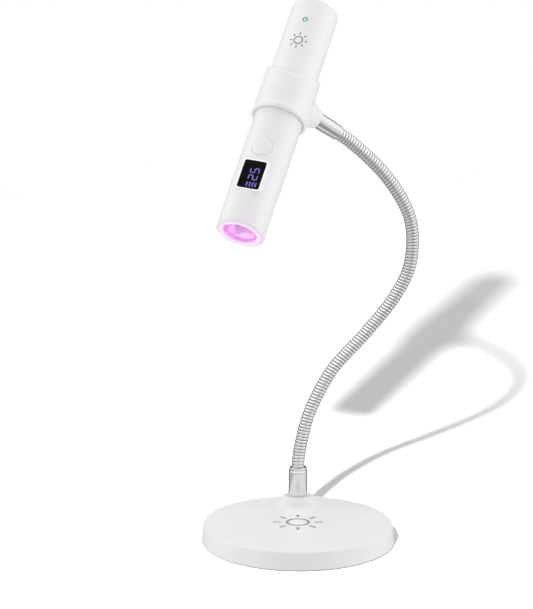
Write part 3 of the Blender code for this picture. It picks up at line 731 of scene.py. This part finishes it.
def build_base(look):
    outer = arc(BASE_R_TOP - BASE_EDGE_R, BASE_TOP_Z - BASE_EDGE_R, BASE_EDGE_R, 2, 90, 10)
    inner = BASE_R - BASE_WALL
    edge = BASE_SKIRT_EDGE_R
    profile = [(inner, BASE_SKIRT_Z), (BASE_R - edge, BASE_SKIRT_Z)]
    profile += arc(BASE_R - edge, BASE_SKIRT_Z + edge, edge, -60, 0, 3)
    profile += outer + [(30.0, BASE_TOP_Z), (0.0, BASE_TOP_Z)]
    profile += [(0.0, BASE_ROOF_Z), (inner, BASE_ROOF_Z)]
    cover = lathe("base_cover", profile, look["white_base"], segments=192)
    hole = [(0.0, 5.0), (STUD_CLEARANCE, 5.0), (STUD_CLEARANCE, 16.0), (0.0, 16.0)]
    cut(cover, [lathe("stud_tool", hole, None, shift(0.0, HUB_Y, 0.0), 48)])

    flare = arc(HUB_SKIRT_R, BASE_TOP_Z + HUB_FLARE_R, HUB_FLARE_R, -90, -150, 8)
    crown = arc(HUB_TOP_R, HUB_TOP_Z - HUB_CROWN_R, HUB_CROWN_R, 30, 90, 8)
    skirt = BASE_TOP_Z - HUB_SKIRT_DEPTH
    hub = [(STUD_HOLE_R, skirt), (HUB_SKIRT_R, skirt)] + flare + crown
    hub += [(STUD_HOLE_R + 0.3, HUB_TOP_Z), (STUD_HOLE_R, HUB_TOP_Z - 0.3)]
    boss = lathe("neck_hub", hub, look["white_base"], shift(0.0, HUB_Y, 0.0), 96)

    bm = bmesh.new()
    for shape in sun_outlines(BASE_MARK_R, BASE_MARK_STROKE):
        flat_plate(bm, shape, *(BASE_TOP_Z + lift for lift in BASE_MARK_LIFT))
    bmesh.ops.remove_doubles(bm, verts=bm.verts, dist=0.0005)
    mark = build("base_mark", bm, look["ink"])

    z0 = HUB_TOP_Z + 0.05
    top = FERRULE_TOP_Z
    bore = FERRULE_BORE_R
    profile = [(0.0, FERRULE_STUD_Z), (bore - 0.4, FERRULE_STUD_Z), (bore, FERRULE_STUD_Z + 0.4)]
    profile += [(bore, z0), (FERRULE_R - 0.35, z0)]
    profile += arc(FERRULE_R - 0.35, z0 + 0.35, 0.35, -60, 0, 3)
    profile += [(FERRULE_R, top - 2.7)] + arc(FERRULE_R - 0.5, top - 2.35, 0.5, 0, 50, 3)
    profile += [(FERRULE_R - 0.36, top - 1.7), (FERRULE_R - 0.34, top - 0.75)]
    profile += arc(FERRULE_R - 0.84, top - 0.5, 0.5, 0, 90, 5)
    profile += [(bore + 0.02, top), (bore, top - 0.2)]
    profile += [(bore, FERRULE_BORE_Z), (0.0, FERRULE_BORE_Z)]
    ferrule = lathe("base_ferrule", profile, look["chrome"], shift(0.0, HUB_Y, 0.0), 96)

    foot = [(0.0, 0.0), (FOOT_R - FOOT_EDGE, 0.0), (FOOT_R, FOOT_EDGE)]
    foot += [(FOOT_R, FOOT_T), (0.0, FOOT_T)]
    pad = lathe("foot_pad_disc", foot, look["pad_foam"], segments=160)
    for piece in (cover, boss, mark, ferrule, pad):
        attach(piece, "base")
    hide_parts("foot_pad")
    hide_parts("base_shell")
    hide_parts("ferrule_lower")


# ---- gooseneck


def neck_curve():
    """Points along the smooth curve through the route, from the lower ferrule to the upper one."""
    end = SOCKET @ Vector((0.0, 0.0, TOP_FERRULE_END_R))
    leave = -(SOCKET.to_3x3() @ WORLD_UP)
    knots = [Vector(p) for p in NECK_ROUTE] + [end]
    slopes = [(knots[i + 1] - knots[i - 1]) / 2.0 for i in range(1, len(knots) - 1)]
    slopes.insert(0, WORLD_UP * (knots[1] - knots[0]).length)
    slopes.append(leave * (knots[-1] - knots[-2]).length)
    points = []
    for i in range(len(knots) - 1):
        for k in range(ROUTE_STEPS):
            t = k / ROUTE_STEPS
            a = 2 * t**3 - 3 * t**2 + 1
            b = t**3 - 2 * t**2 + t
            points.append(a * knots[i] + b * slopes[i] + (1 - a) * knots[i + 1]
                          + (t**3 - t**2) * slopes[i + 1])
    points.append(end)
    return points


class Route:
    """Position and frame at a distance along the neck, carried on straight past both ends."""

    def __init__(self):
        self.points = neck_curve()
        self.at = [0.0]
        for a, b in zip(self.points, self.points[1:]):
            self.at.append(self.at[-1] + (b - a).length)
        self.length = self.at[-1]

    def point(self, s):
        i = 0
        while i < len(self.at) - 2 and self.at[i + 1] < s:
            i += 1
        span = self.at[i + 1] - self.at[i]
        return self.points[i].lerp(self.points[i + 1], (s - self.at[i]) / span)

    def frame(self, s):
        tangent = (self.point(s + TANGENT_STEP) - self.point(s - TANGENT_STEP)).normalized()
        across = Vector((0.0, 1.0, 0.0))
        across = (across - tangent * across.dot(tangent)).normalized()
        return self.point(s), across, tangent.cross(across)


def winding_stations(link, pitch):
    """(distance, depth) of every row of one length of winding.

    Its first and last rows meet its neighbours'. The hose tucks into the ferrule at both ends.
    """
    turn_pitch = pitch / HOSE_TURNS
    tucked = math.ceil(HOSE_TUCK / turn_pitch)
    first = -tucked if link == 0 else 0
    last = HOSE_TURNS + (tucked if link == HOSE_LINKS - 1 else 0)
    rows = []
    for k in range(first, last):
        for share, depth in TURN_PROFILE:
            rows.append((link * pitch + (k + share) * turn_pitch, depth))
    rows.append((link * pitch + last * turn_pitch, TURN_PROFILE[0][1]))
    return rows


def build_neck(look):
    """Eight lengths of wound hose along the neck's curve, each over the joint between two links.
    """
    route = Route()
    pitch = route.length / HOSE_LINKS
    turn_pitch = pitch / HOSE_TURNS
    for link in range(HOSE_LINKS):
        bm = bmesh.new()
        groove = bm.verts.layers.float.new("groove")
        rows = winding_stations(link, pitch)
        loops = []
        for s, depth in rows:
            loop = []
            for i in range(HOSE_SIDES + 1):
                share = i / HOSE_SIDES
                centre, across, side = route.frame(s + turn_pitch * (share - 0.5))
                a = 2.0 * math.pi * share
                spoke = math.cos(a) * across + math.sin(a) * side
                vert = bm.verts.new(centre + spoke * (HOSE_R - depth))
                # the row's depth, which carries the painted shade in the grooves
                vert[groove] = depth / TURN_PROFILE[0][1]
                loop.append(vert)
            loops.append(loop)
        for low, high in zip(loops, loops[1:]):
            for i in range(HOSE_SIDES):
                bm.faces.new((low[i], low[i + 1], high[i + 1], high[i]))
        bmesh.ops.remove_doubles(bm, verts=bm.verts, dist=0.001)
        obj = build(f"hose_winding_{link + 1}", bm, look["winding"], sharp=60.0)
        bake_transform(obj)
        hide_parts(f"hose_{link}")
        if link == HOSE_LINKS - 1:
            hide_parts(f"hose_{HOSE_LINKS}")


# ---- holder


def scooped(r, z, angle):
    """Lowers the collar's upper rim in a wide scoop at the front."""
    if z < COLLAR_DRAWN_TOP_Z / 2.0:
        return r, z
    towards = math.cos(angle - math.radians(COLLAR_SCOOP_AZIMUTH))
    top = COLLAR_TOP_Z - COLLAR_SCOOP * ((1.0 + towards) / 2.0) ** 2
    return r, z - COLLAR_DRAWN_TOP_Z + top


def collar_profile():
    bottom = COLLAR_BOTTOM_Z
    drawn = COLLAR_DRAWN_TOP_Z
    profile = [(COLLAR_BORE_R, bottom + 0.4)]
    profile += arc(COLLAR_BORE_R + 0.4, bottom + 0.4, 0.4, 225, 270, 2)
    profile += arc(COLLAR_LIP_R - 0.9, bottom + 0.9, 0.9, -90, 0, 8)
    profile += [(COLLAR_LIP_R - 0.02, bottom + 1.7), (COLLAR_LIP_R - 0.12, bottom + 2.3)]
    profile += [(COLLAR_R + 0.1, bottom + 3.0), (COLLAR_R, bottom + 3.8)]
    profile += [(COLLAR_R, -4.0), (COLLAR_R, 5.0)]
    profile += arc(COLLAR_R - COLLAR_TOP_EDGE, drawn - COLLAR_TOP_EDGE, COLLAR_TOP_EDGE, 0, 90, 8)
    profile += arc(COLLAR_NECK_BORE_R + 0.35, drawn - 0.35, 0.35, 90, 180, 3)
    profile += [(COLLAR_NECK_BORE_R, 7.3), (COLLAR_BORE_R, 7.0)]
    return profile


def socket_boss(bm):
    """The cone that takes the ferrule, with a fillet where it leaves the collar's curved wall."""
    sides = 96
    rows = []
    slope = (SOCKET_TIP_R - SOCKET_ROOT_R) / (SOCKET_END_R - SOCKET_START_R)
    cone_end = SOCKET_END_R - SOCKET_EDGE

    def wall(radius, a):
        """How far out the collar's wall is at that radius and angle on the socket."""
        lateral = radius * math.sin(a)
        return math.sqrt(COLLAR_R**2 - lateral**2)

    for i in range(sides):
        a = 2.0 * math.pi * i / sides
        column = []
        foot_r = SOCKET_ROOT_R + SOCKET_FLARE
        knee_h = wall(SOCKET_ROOT_R, a)
        knee_r = SOCKET_ROOT_R + slope * (knee_h - SOCKET_START_R)
        top_h = knee_h + SOCKET_FLARE * 0.95
        top_r = SOCKET_ROOT_R + slope * (top_h - SOCKET_START_R)
        foot = Vector((foot_r, wall(foot_r, a) - 0.03))
        knee = Vector((knee_r, knee_h - 0.02))
        top = Vector((top_r, top_h))
        for k in range(9):
            t = k / 8.0
            column.append(foot * (1 - t) ** 2 + knee * 2 * t * (1 - t) + top * t * t)
        end_r = SOCKET_ROOT_R + slope * (cone_end - SOCKET_START_R)
        column.append(Vector((end_r, cone_end)))
        for r, h in arc(end_r - 0.85, cone_end + 0.03, 0.85, 15, 90, 5):
            column.append(Vector((r, h)))
        column.append(Vector((SPIGOT_HOLE_R, SOCKET_END_R - 0.03)))
        column.append(Vector((SPIGOT_HOLE_R, SOCKET_FLOOR_R)))
        column.insert(0, (SOCKET_ROOT_R, SOCKET_BACK_R))
        rows.append([(r * math.cos(a), r * math.sin(a), h) for r, h in column])
    loops = [list(loop) for loop in zip(*rows)]
    loops = [[(0.0, 0.0, SOCKET_BACK_R)]] + loops + [[(0.0, 0.0, SOCKET_FLOOR_R)]]
    skin(bm, rings_of(bm, loops))


def build_holder(look):
    bm = bmesh.new()
    turned(bm, collar_profile(), 192, scooped)
    collar = build("collar_shell", bm, look["white_collar"], HOLDER)
    bm = bmesh.new()
    socket_boss(bm)
    boss = build("collar_socket", bm, look["white_collar"], SOCKET)

    end = TOP_FERRULE_END_R
    start = TOP_FERRULE_START_R
    spigot = TOP_FERRULE_SPIGOT_START_R
    full = TOP_FERRULE_R
    depth = end - TOP_FERRULE_BORE_DEPTH
    profile = [(0.0, spigot), (TOP_FERRULE_SPIGOT_R, spigot)]
    profile += [(TOP_FERRULE_SPIGOT_R, start), (3.8, start)]
    profile += arc(3.85, start + 0.2, 0.2, -60, 0, 2)
    profile += [(full, start + 0.5), (full, start + 5.0), (3.98, start + 7.0), (3.76, end - 0.8)]
    profile += arc(3.46, end - 0.3, 0.3, 10, 90, 4)
    profile += [(FERRULE_BORE_R, end), (FERRULE_BORE_R, depth), (0.0, depth)]
    ferrule = lathe("holder_ferrule", profile, look["chrome"], SOCKET, 96)
    inner, outer = LINER_R
    low_end = COLLAR_BOTTOM_Z + 0.12
    sleeve = [(inner, low_end + 0.1), (inner + 0.1, low_end), (outer, low_end)]
    sleeve += [(outer, LINER_TOP_Z), (inner, LINER_TOP_Z)]
    liner = lathe("liner_sleeve", sleeve, look["grip_rubber"], HOLDER, 160)
    for piece in (collar, boss, ferrule):
        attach(piece, "holder")
    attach(liner, "liner")
    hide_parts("collar")
    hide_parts("ferrule_upper")
    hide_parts("grip_liner")


# ---- torch


def facing(place_z):
    """Carries an upright solid so that its +Z points out of the torch's front at that height."""
    return shift(0.0, 0.0, place_z) @ turn(90.0, "X")


def cylinder_tool(radius, z, segments):
    near, far = CUTTER_REACH
    profile = [(0.0, near), (radius, near), (radius, far), (0.0, far)]
    return lathe("tool", profile, None, facing(z), segments)


def torch_body(look):
    edge = TORCH_TAIL_EDGE
    tail = arc(TORCH_R - edge, TORCH_TAIL_Z - edge, edge, 0, 90, 14)
    lip = TORCH_MOUTH_EDGE
    mouth = arc(TORCH_R - lip, TORCH_MOUTH_Z + lip, lip, -90, 0, 8)
    roof = TORCH_TAIL_Z - 2.0
    profile = [(TORCH_BORE_R, TORCH_MOUTH_Z)] + mouth + tail
    profile += [(6.0, TORCH_TAIL_Z), (0.0, TORCH_TAIL_Z)]
    profile += [(0.0, roof), (TORCH_BORE_R - 1.0, roof), (TORCH_BORE_R, roof - 1.0)]
    body = lathe("torch_shell", profile, look["white_shell"], segments=192)
    pocket = window_outline(WINDOW_GAP, 8)
    opening = rounded_rect(PORT_W + 0.6, PORT_H + 0.6, PORT_CORNER + 0.1, 8)
    cut(body, [
        cylinder_tool(BUTTON_R + 0.1, BUTTON_Z, 96),
        cylinder_tool(INDICATOR_R + 0.12, INDICATOR_Z, 48),
        cutter("window_tool", pocket, *CUTTER_REACH, facing(WINDOW_MIDDLE_Z)),
        cutter("port_tool", opening, 50.0, 60.0),
    ])
    polish(body, TORCH_R)
    body.matrix_world = metres(TORCH)
    return body


def window_outline(grow, steps=6):
    """The window's rounded outline, grown all round."""
    return rounded_rect(WINDOW_W + 2 * grow, WINDOW_HEIGHT + 2 * grow, WINDOW_CORNER + grow, steps)


def window_loops(bm, section):
    """Outlines stacked outwards by (growth, distance from the torch's axis)."""
    return rings_of(bm, [[(x, y, z) for x, y in window_outline(grow)] for grow, z in section])


def window_glass(look):
    """The display's flat black glass with ground edges."""
    back, face = WINDOW_Y
    bm = bmesh.new()
    section = ((0.0, back), (0.0, face - 0.18), (-0.06, face - 0.06), (-0.18, face))
    loops = window_loops(bm, section)
    skin(bm, loops)
    bm.faces.new(loops[0])
    bm.faces.new(loops[-1])
    place = TORCH @ facing(WINDOW_MIDDLE_Z)
    return build("window_glass", bm, look["window_black"], place, sharp=25.0)


def window_bezel(look):
    """The thin rim around the window, made bright with a painted highlight, and the raised land
    that carries it.
    """
    inner = WINDOW_GAP
    rim = WINDOW_GAP + WINDOW_RIM
    outer = WINDOW_GAP + WINDOW_FRAME
    top = WINDOW_FRAME_Y
    bright = (
        (inner, 10.6), (inner, top - 0.08), (inner + 0.08, top),
        (rim - 0.06, top), (rim, top - 0.06), (rim, 10.6),
    )
    land = (
        (rim - 0.03, 10.4), (rim - 0.03, top - 0.09), (outer - 0.1, top - 0.13),
        (outer + 0.08, top - 0.24), (outer + 0.3, top - 0.5), (outer + 0.8, 10.2),
        (outer + 0.6, 9.6),
    )
    pieces = []
    for name, section, finish in (
        ("window_bezel", bright, "bezel"),
        ("window_land", land, "white_shell"),
    ):
        bm = bmesh.new()
        skin(bm, window_loops(bm, section), closed=True)
        pieces.append(build(name, bm, look[finish], TORCH @ facing(WINDOW_MIDDLE_Z)))
    return pieces


def bar(p, q, width):
    """The pointed outline of one display segment from p to q."""
    along = (q - p).normalized()
    side = Vector((-along.y, along.x)) * width / 2
    tip = along * width / 2
    upper = [p + tip * 0.2, p + tip + side, q - tip + side]
    return upper + [q - tip * 0.2, q - tip - side, p + tip - side]


def figure_outlines(segments, centre, stroke):
    """Seven-segment outlines, laid so that the figures are read along the torch."""
    w, h = FIGURE_W / 2, FIGURE_H / 2
    ends = {
        "a": ((-w, h), (w, h)), "b": ((w, h), (w, 0)), "c": ((w, 0), (w, -h)),
        "d": ((-w, -h), (w, -h)), "e": ((-w, 0), (-w, -h)), "f": ((-w, h), (-w, 0)),
        "g": ((-w, 0), (w, 0)),
    }
    shapes = []
    for key in segments:
        (x0, y0), (x1, y1) = ends[key]
        p = Vector((y0, -x0))
        q = Vector((y1, -x1))
        shapes.append([tuple(c + centre) for c in bar(p, q, stroke)])
    return shapes


def display_figures(look, name, finish, stroke, lift):
    """Two figures and a battery gauge, lit; the halo is the same shapes, drawn wider, as a painted
    glow around them.
    """
    grow = stroke - FIGURE_STROKE
    bm = bmesh.new()
    shapes = []
    for segments, v in FIGURES:
        shapes += figure_outlines(segments, Vector((FIGURE_U, v)), stroke)
    for i in range(GAUGE_BARS):
        u = FIGURE_U + GAUGE_SHIFT + GAUGE_PITCH * (i - (GAUGE_BARS - 1) / 2.0)
        half_w, half_h = (GAUGE_BAR[0] + grow) / 2.0, (GAUGE_BAR[1] + grow) / 2.0
        shapes.append([(u - half_w, GAUGE_V - half_h), (u + half_w, GAUGE_V - half_h),
                       (u + half_w, GAUGE_V + half_h), (u - half_w, GAUGE_V + half_h)])
    for outline in shapes:
        flat_plate(bm, outline, WINDOW_Y[1] - 0.03, WINDOW_Y[1] + lift)
    return build(name, bm, look[finish], TORCH @ facing(WINDOW_MIDDLE_Z))


def button_cap(look):
    """The cap's face follows the barrel; it has a shallow ring groove and a rounded rim."""
    sides = 96
    around = [2.0 * math.pi * i / sides for i in range(sides)]

    def ring(radius, height):
        """Points round the cap; height gives y for a point's place across."""
        if radius == 0.0:
            return [(0.0, height(0.0), BUTTON_Z)]
        flat = [(radius * math.cos(a), radius * math.sin(a)) for a in around]
        return [(u, height(u), v + BUTTON_Z) for u, v in flat]

    rings = []
    for radius, depth in BUTTON_SECTION:
        rings.append(ring(radius, lambda u: depth - math.sqrt(BUTTON_FACE_R**2 - u * u)))
    for radius, y in BUTTON_FLANGE + ((0.0, BUTTON_FLANGE[-1][1]),):
        rings.append(ring(radius, lambda u: y))
    bm = bmesh.new()
    skin(bm, rings_of(bm, rings))
    return build("button_cap", bm, look["button_white"], TORCH, sharp=45.0)


def indicator(look):
    """A green light pipe in a darker green ring."""
    ring = [(0.72, 9.2), (INDICATOR_R, 9.2)]
    ring += arc(1.1, 11.88, 0.15, 0, 90, 3) + arc(0.85, 11.9, 0.13, 90, 180, 3)
    rim = lathe("indicator_ring", ring, look["green_ring"], TORCH @ facing(INDICATOR_Z), 48)
    dome = [(0.0, 9.2), (0.7, 9.2), (0.7, 11.75), (0.62, 11.84), (0.45, 11.9), (0.22, 11.93)]
    dome += [(0.0, 11.94)]
    pipe = lathe("indicator_pipe", dome, look["light_pipe"], TORCH @ facing(INDICATOR_Z), 32)
    return rim, pipe


def lamp_mouth(look):
    """Lip ring, lens, faceted reflector and the lit emitter."""
    outer = TORCH_BORE_R - 0.02
    end = TORCH_MOUTH_Z
    ring = [(outer, LENS_TOP_Z), (outer, end + 0.01)]
    edge = MOUTH_LIP_EDGE
    ring += arc(MOUTH_OPEN_R + edge, end + edge + 0.01, edge, 270, 180, 8)
    seat = LENS_R + 0.15
    ring += [(MOUTH_OPEN_R, LENS_TOP_Z - 2.5), (seat, LENS_TOP_Z - 2.5), (seat, LENS_TOP_Z)]
    lip = lathe("mouth_lip", ring, look["lip"], TORCH, 192)
    back = LENS_TOP_Z
    front = end + LENS_FRONT_INSET
    glass = [(0.0, back), (LENS_R, back), (LENS_R, back - 2.3), (8.24, back - 2.6)]
    glass += [(8.24, front + 0.3), (8.0, front)]
    glass += [(6.0, front - 0.06), (3.0, front - 0.12), (0.0, front - 0.14)]
    lens = lathe("lens_clear", glass, look["lens_glass"], TORCH, 96)

    plating = look["mirror_plating"]
    bowl = REFLECTOR_PROFILE
    mirror = lathe("reflector_bowl", bowl, plating, TORCH, REFLECTOR_FACETS, sharp=12.0)
    dome = list(EMITTER_FOOT) + arc(0.0, EMITTER_DOME_Z, EMITTER_DOME_R, -5, -85, 8)
    dome += [(0.0, EMITTER_DOME_Z - EMITTER_DOME_R)]
    led = lathe("emitter_dome", dome, look["emitter"], TORCH, 48)
    return lip, lens, mirror, led


def torch_mark(look):
    bm = bmesh.new()
    for shape in sun_outlines(TORCH_MARK_R, TORCH_MARK_STROKE):
        outline = [(u, v + MARK_Z) for u, v in shape]
        wrapped_plate(bm, outline, *(TORCH_R + lift for lift in TORCH_MARK_LIFT))
    bmesh.ops.remove_doubles(bm, verts=bm.verts, dist=0.0004)
    return build("torch_mark", bm, look["ink"], TORCH)


def build_torch(look):
    body = torch_body(look)
    glass = window_glass(look)
    bezel, land = window_bezel(look)
    # the halo is a painted glow around the lit figures
    halo = display_figures(look, "display_halo", "halo", FIGURE_HALO, 0.004)
    figures = display_figures(look, "display_figures", "figures", FIGURE_STROKE, 0.012)
    cap = button_cap(look)
    rim, pipe = indicator(look)
    lip, lens, mirror, led = lamp_mouth(look)
    mark = torch_mark(look)
    for piece in (
        body, glass, bezel, land, halo, figures, rim, pipe, lip, lens, mirror, led, mark,
    ):
        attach(piece, "torch")
    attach(cap, "button")
    for piece, node in ((body, "barrel"), (glass, "display_window"), (cap, "push_button"),
                        (pipe, "indicator_lens"), (lip, "mouth_ring"), (lens, "lens"),
                        (mirror, "reflector"), (led, "emitter")):
        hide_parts(node)


# ---- studio


def dress_frame(look):
    """Gives every CAD node that stays in view its own procedural finish."""
    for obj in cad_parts.values():
        for slot in obj.material_slots:
            name = slot.material.name.split(".")[0] if slot.material else None
            if name in look:
                slot.material = look[name]


def build_world():
    """Even white light for surfaces, and pale and dark cards for what polished metal mirrors."""
    world = bpy.data.worlds.new("studio")
    bpy.context.scene.world = world
    world.use_nodes = True
    world.node_tree.nodes.clear()
    w = Tree(world.node_tree)

    split = w.node("SeparateXYZ")
    w.link(w.node("TexCoord").outputs["Generated"], split.inputs[0])
    x, y, z = split.outputs
    across = w.maths("ADD", w.maths("MULTIPLY", x, 0.5), 0.5)

    def cards(stops):
        return w.ramp(across, [(at, (value, value, value)) for at, value in stops])

    behind = w.span(y, *BEHIND_EDGE, soft=True)
    middle = w.mix(cards(LEVEL_CARDS), BEHIND_CARD, behind)
    lower = w.mix(middle, cards(LOW_CARDS), w.span(z, *LOW_EDGE, soft=True))
    line = w.maths("ADD", TOP_EDGE, w.maths("MULTIPLY", behind, TOP_EDGE_RISE_BEHIND))
    above = w.span(w.maths("SUBTRACT", z, line), -TOP_EDGE_SOFT, TOP_EDGE_SOFT, soft=True)

    even = w.node("Background")
    even.inputs["Color"].default_value = (1.0, 1.0, 1.0, 1.0)
    below = w.span(z, HORIZON_SOFT, -HORIZON_SOFT, soft=True)
    ground = w.maths("MULTIPLY", below, GROUND_STRENGTH - WORLD_STRENGTH)
    w.link(w.maths("ADD", ground, WORLD_STRENGTH), even.inputs["Strength"])
    studio = w.node("Background")
    w.link(w.mix(lower, TOP_CARD, above), studio.inputs["Color"])
    white = w.node("Background")
    white.inputs["Color"].default_value = (1.0, 1.0, 1.0, 1.0)

    path = w.node("LightPath")
    shown = even
    for ray, sight in (("Is Glossy Ray", studio), ("Is Camera Ray", white)):
        choice = w.node("MixShader")
        w.link(path.outputs[ray], choice.inputs["Fac"])
        w.link(shown.outputs[0], choice.inputs[1])
        w.link(sight.outputs[0], choice.inputs[2])
        shown = choice
    w.link(shown.outputs[0], w.node("OutputWorld").inputs["Surface"])


def area_light(name, place, target, size, watts):
    data = bpy.data.lights.new(name, "AREA")
    data.shape = "SQUARE"
    data.size = size
    data.energy = watts
    lamp = bpy.data.objects.new(name, data)
    bpy.context.scene.collection.objects.link(lamp)
    lamp.location = place
    lamp.rotation_euler = (Vector(place) - Vector(target)).to_track_quat("Z", "Y").to_euler()
    lamp.visible_glossy = False
    lamp.visible_camera = False
    return lamp


def build_floor():
    """A pale paper disc, seen by the camera only: its bounce comes from the even light instead."""
    bm = bmesh.new()
    bmesh.ops.create_circle(bm, cap_ends=True, segments=96, radius=FLOOR_R)
    n = Nodes("floor_paper")
    fibre = n.noise(30.0, 4.0)
    n.to("Base Color", n.ramp(fibre, [(0.3, (0.76, 0.76, 0.76)), (0.7, (0.78, 0.78, 0.78))]))
    n.set(Roughness=1.0, Specular_IOR_Level=0.0, Emission_Color=(1.0, 1.0, 1.0))
    reach = n.node("VectorMath")
    reach.operation = "LENGTH"
    n.link(n.coords, reach.inputs[0])
    start, end = FLOOR_FADE_R
    fade = n.span(reach.outputs["Value"], start * MM, end * MM, 0.0, FLOOR_FADE)
    n.to("Emission Strength", fade)
    n.bump(n.noise(900.0, 2.0), 0.02, 0.00005)
    floor = build("floor", bm, n.mat)
    floor.visible_glossy = False
    floor.visible_diffuse = False
    floor.visible_transmission = False
    return floor


def floor_key():
    """The small lamp that throws the long shadows; it doesn't fade with distance."""
    data = bpy.data.lights.new("floor_key", "POINT")
    data.energy = FLOOR_KEY
    data.shadow_soft_size = FLOOR_KEY_SIZE * MM
    data.use_nodes = True
    tree = data.node_tree
    falloff = tree.nodes.new("ShaderNodeLightFalloff")
    falloff.inputs["Strength"].default_value = 1.0
    tree.links.new(falloff.outputs["Constant"], tree.nodes["Emission"].inputs["Strength"])
    key = bpy.data.objects.new("floor_key", data)
    bpy.context.scene.collection.objects.link(key)
    key.location = Vector(FLOOR_KEY_PLACE) * MM
    key.visible_glossy = False
    key.visible_camera = False
    return key


def build_lights(floor):
    """Soft lights for the lamp alone, and the key for the floor alone."""
    others = bpy.data.collections.new("all_but_floor")
    others.objects.link(floor)
    others.collection_objects[0].light_linking.link_state = "EXCLUDE"
    for values in SOFT_LIGHTS:
        area_light(*values).light_linking.receiver_collection = others
    only_floor = bpy.data.collections.new("floor_only")
    only_floor.objects.link(floor)
    floor_key().light_linking.receiver_collection = only_floor


def build_camera():
    camera = bpy.data.objects.new("camera", bpy.data.cameras.new("camera"))
    bpy.context.scene.collection.objects.link(camera)
    camera.location = Vector(CAMERA_PLACE) * MM
    camera.rotation_euler = (math.radians(CAMERA_PITCH), 0.0, math.radians(CAMERA_YAW))
    camera.data.lens = CAMERA_LENS
    camera.data.sensor_width = CAMERA_SENSOR
    camera.data.clip_start, camera.data.clip_end = CAMERA_CLIP
    bpy.context.scene.camera = camera


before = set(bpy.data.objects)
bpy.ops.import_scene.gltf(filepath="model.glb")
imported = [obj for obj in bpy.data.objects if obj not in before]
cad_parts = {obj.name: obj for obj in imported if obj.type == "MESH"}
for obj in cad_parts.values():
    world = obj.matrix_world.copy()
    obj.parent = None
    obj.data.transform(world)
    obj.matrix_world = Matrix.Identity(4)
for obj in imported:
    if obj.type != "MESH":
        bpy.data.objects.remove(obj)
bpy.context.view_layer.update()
looks = finishes()
dress_frame(looks)
build_base(looks)
build_neck(looks)
build_holder(looks)
build_torch(looks)
build_world()
build_lights(build_floor())
build_camera()
bpy.context.scene.view_settings.view_transform = "Standard"
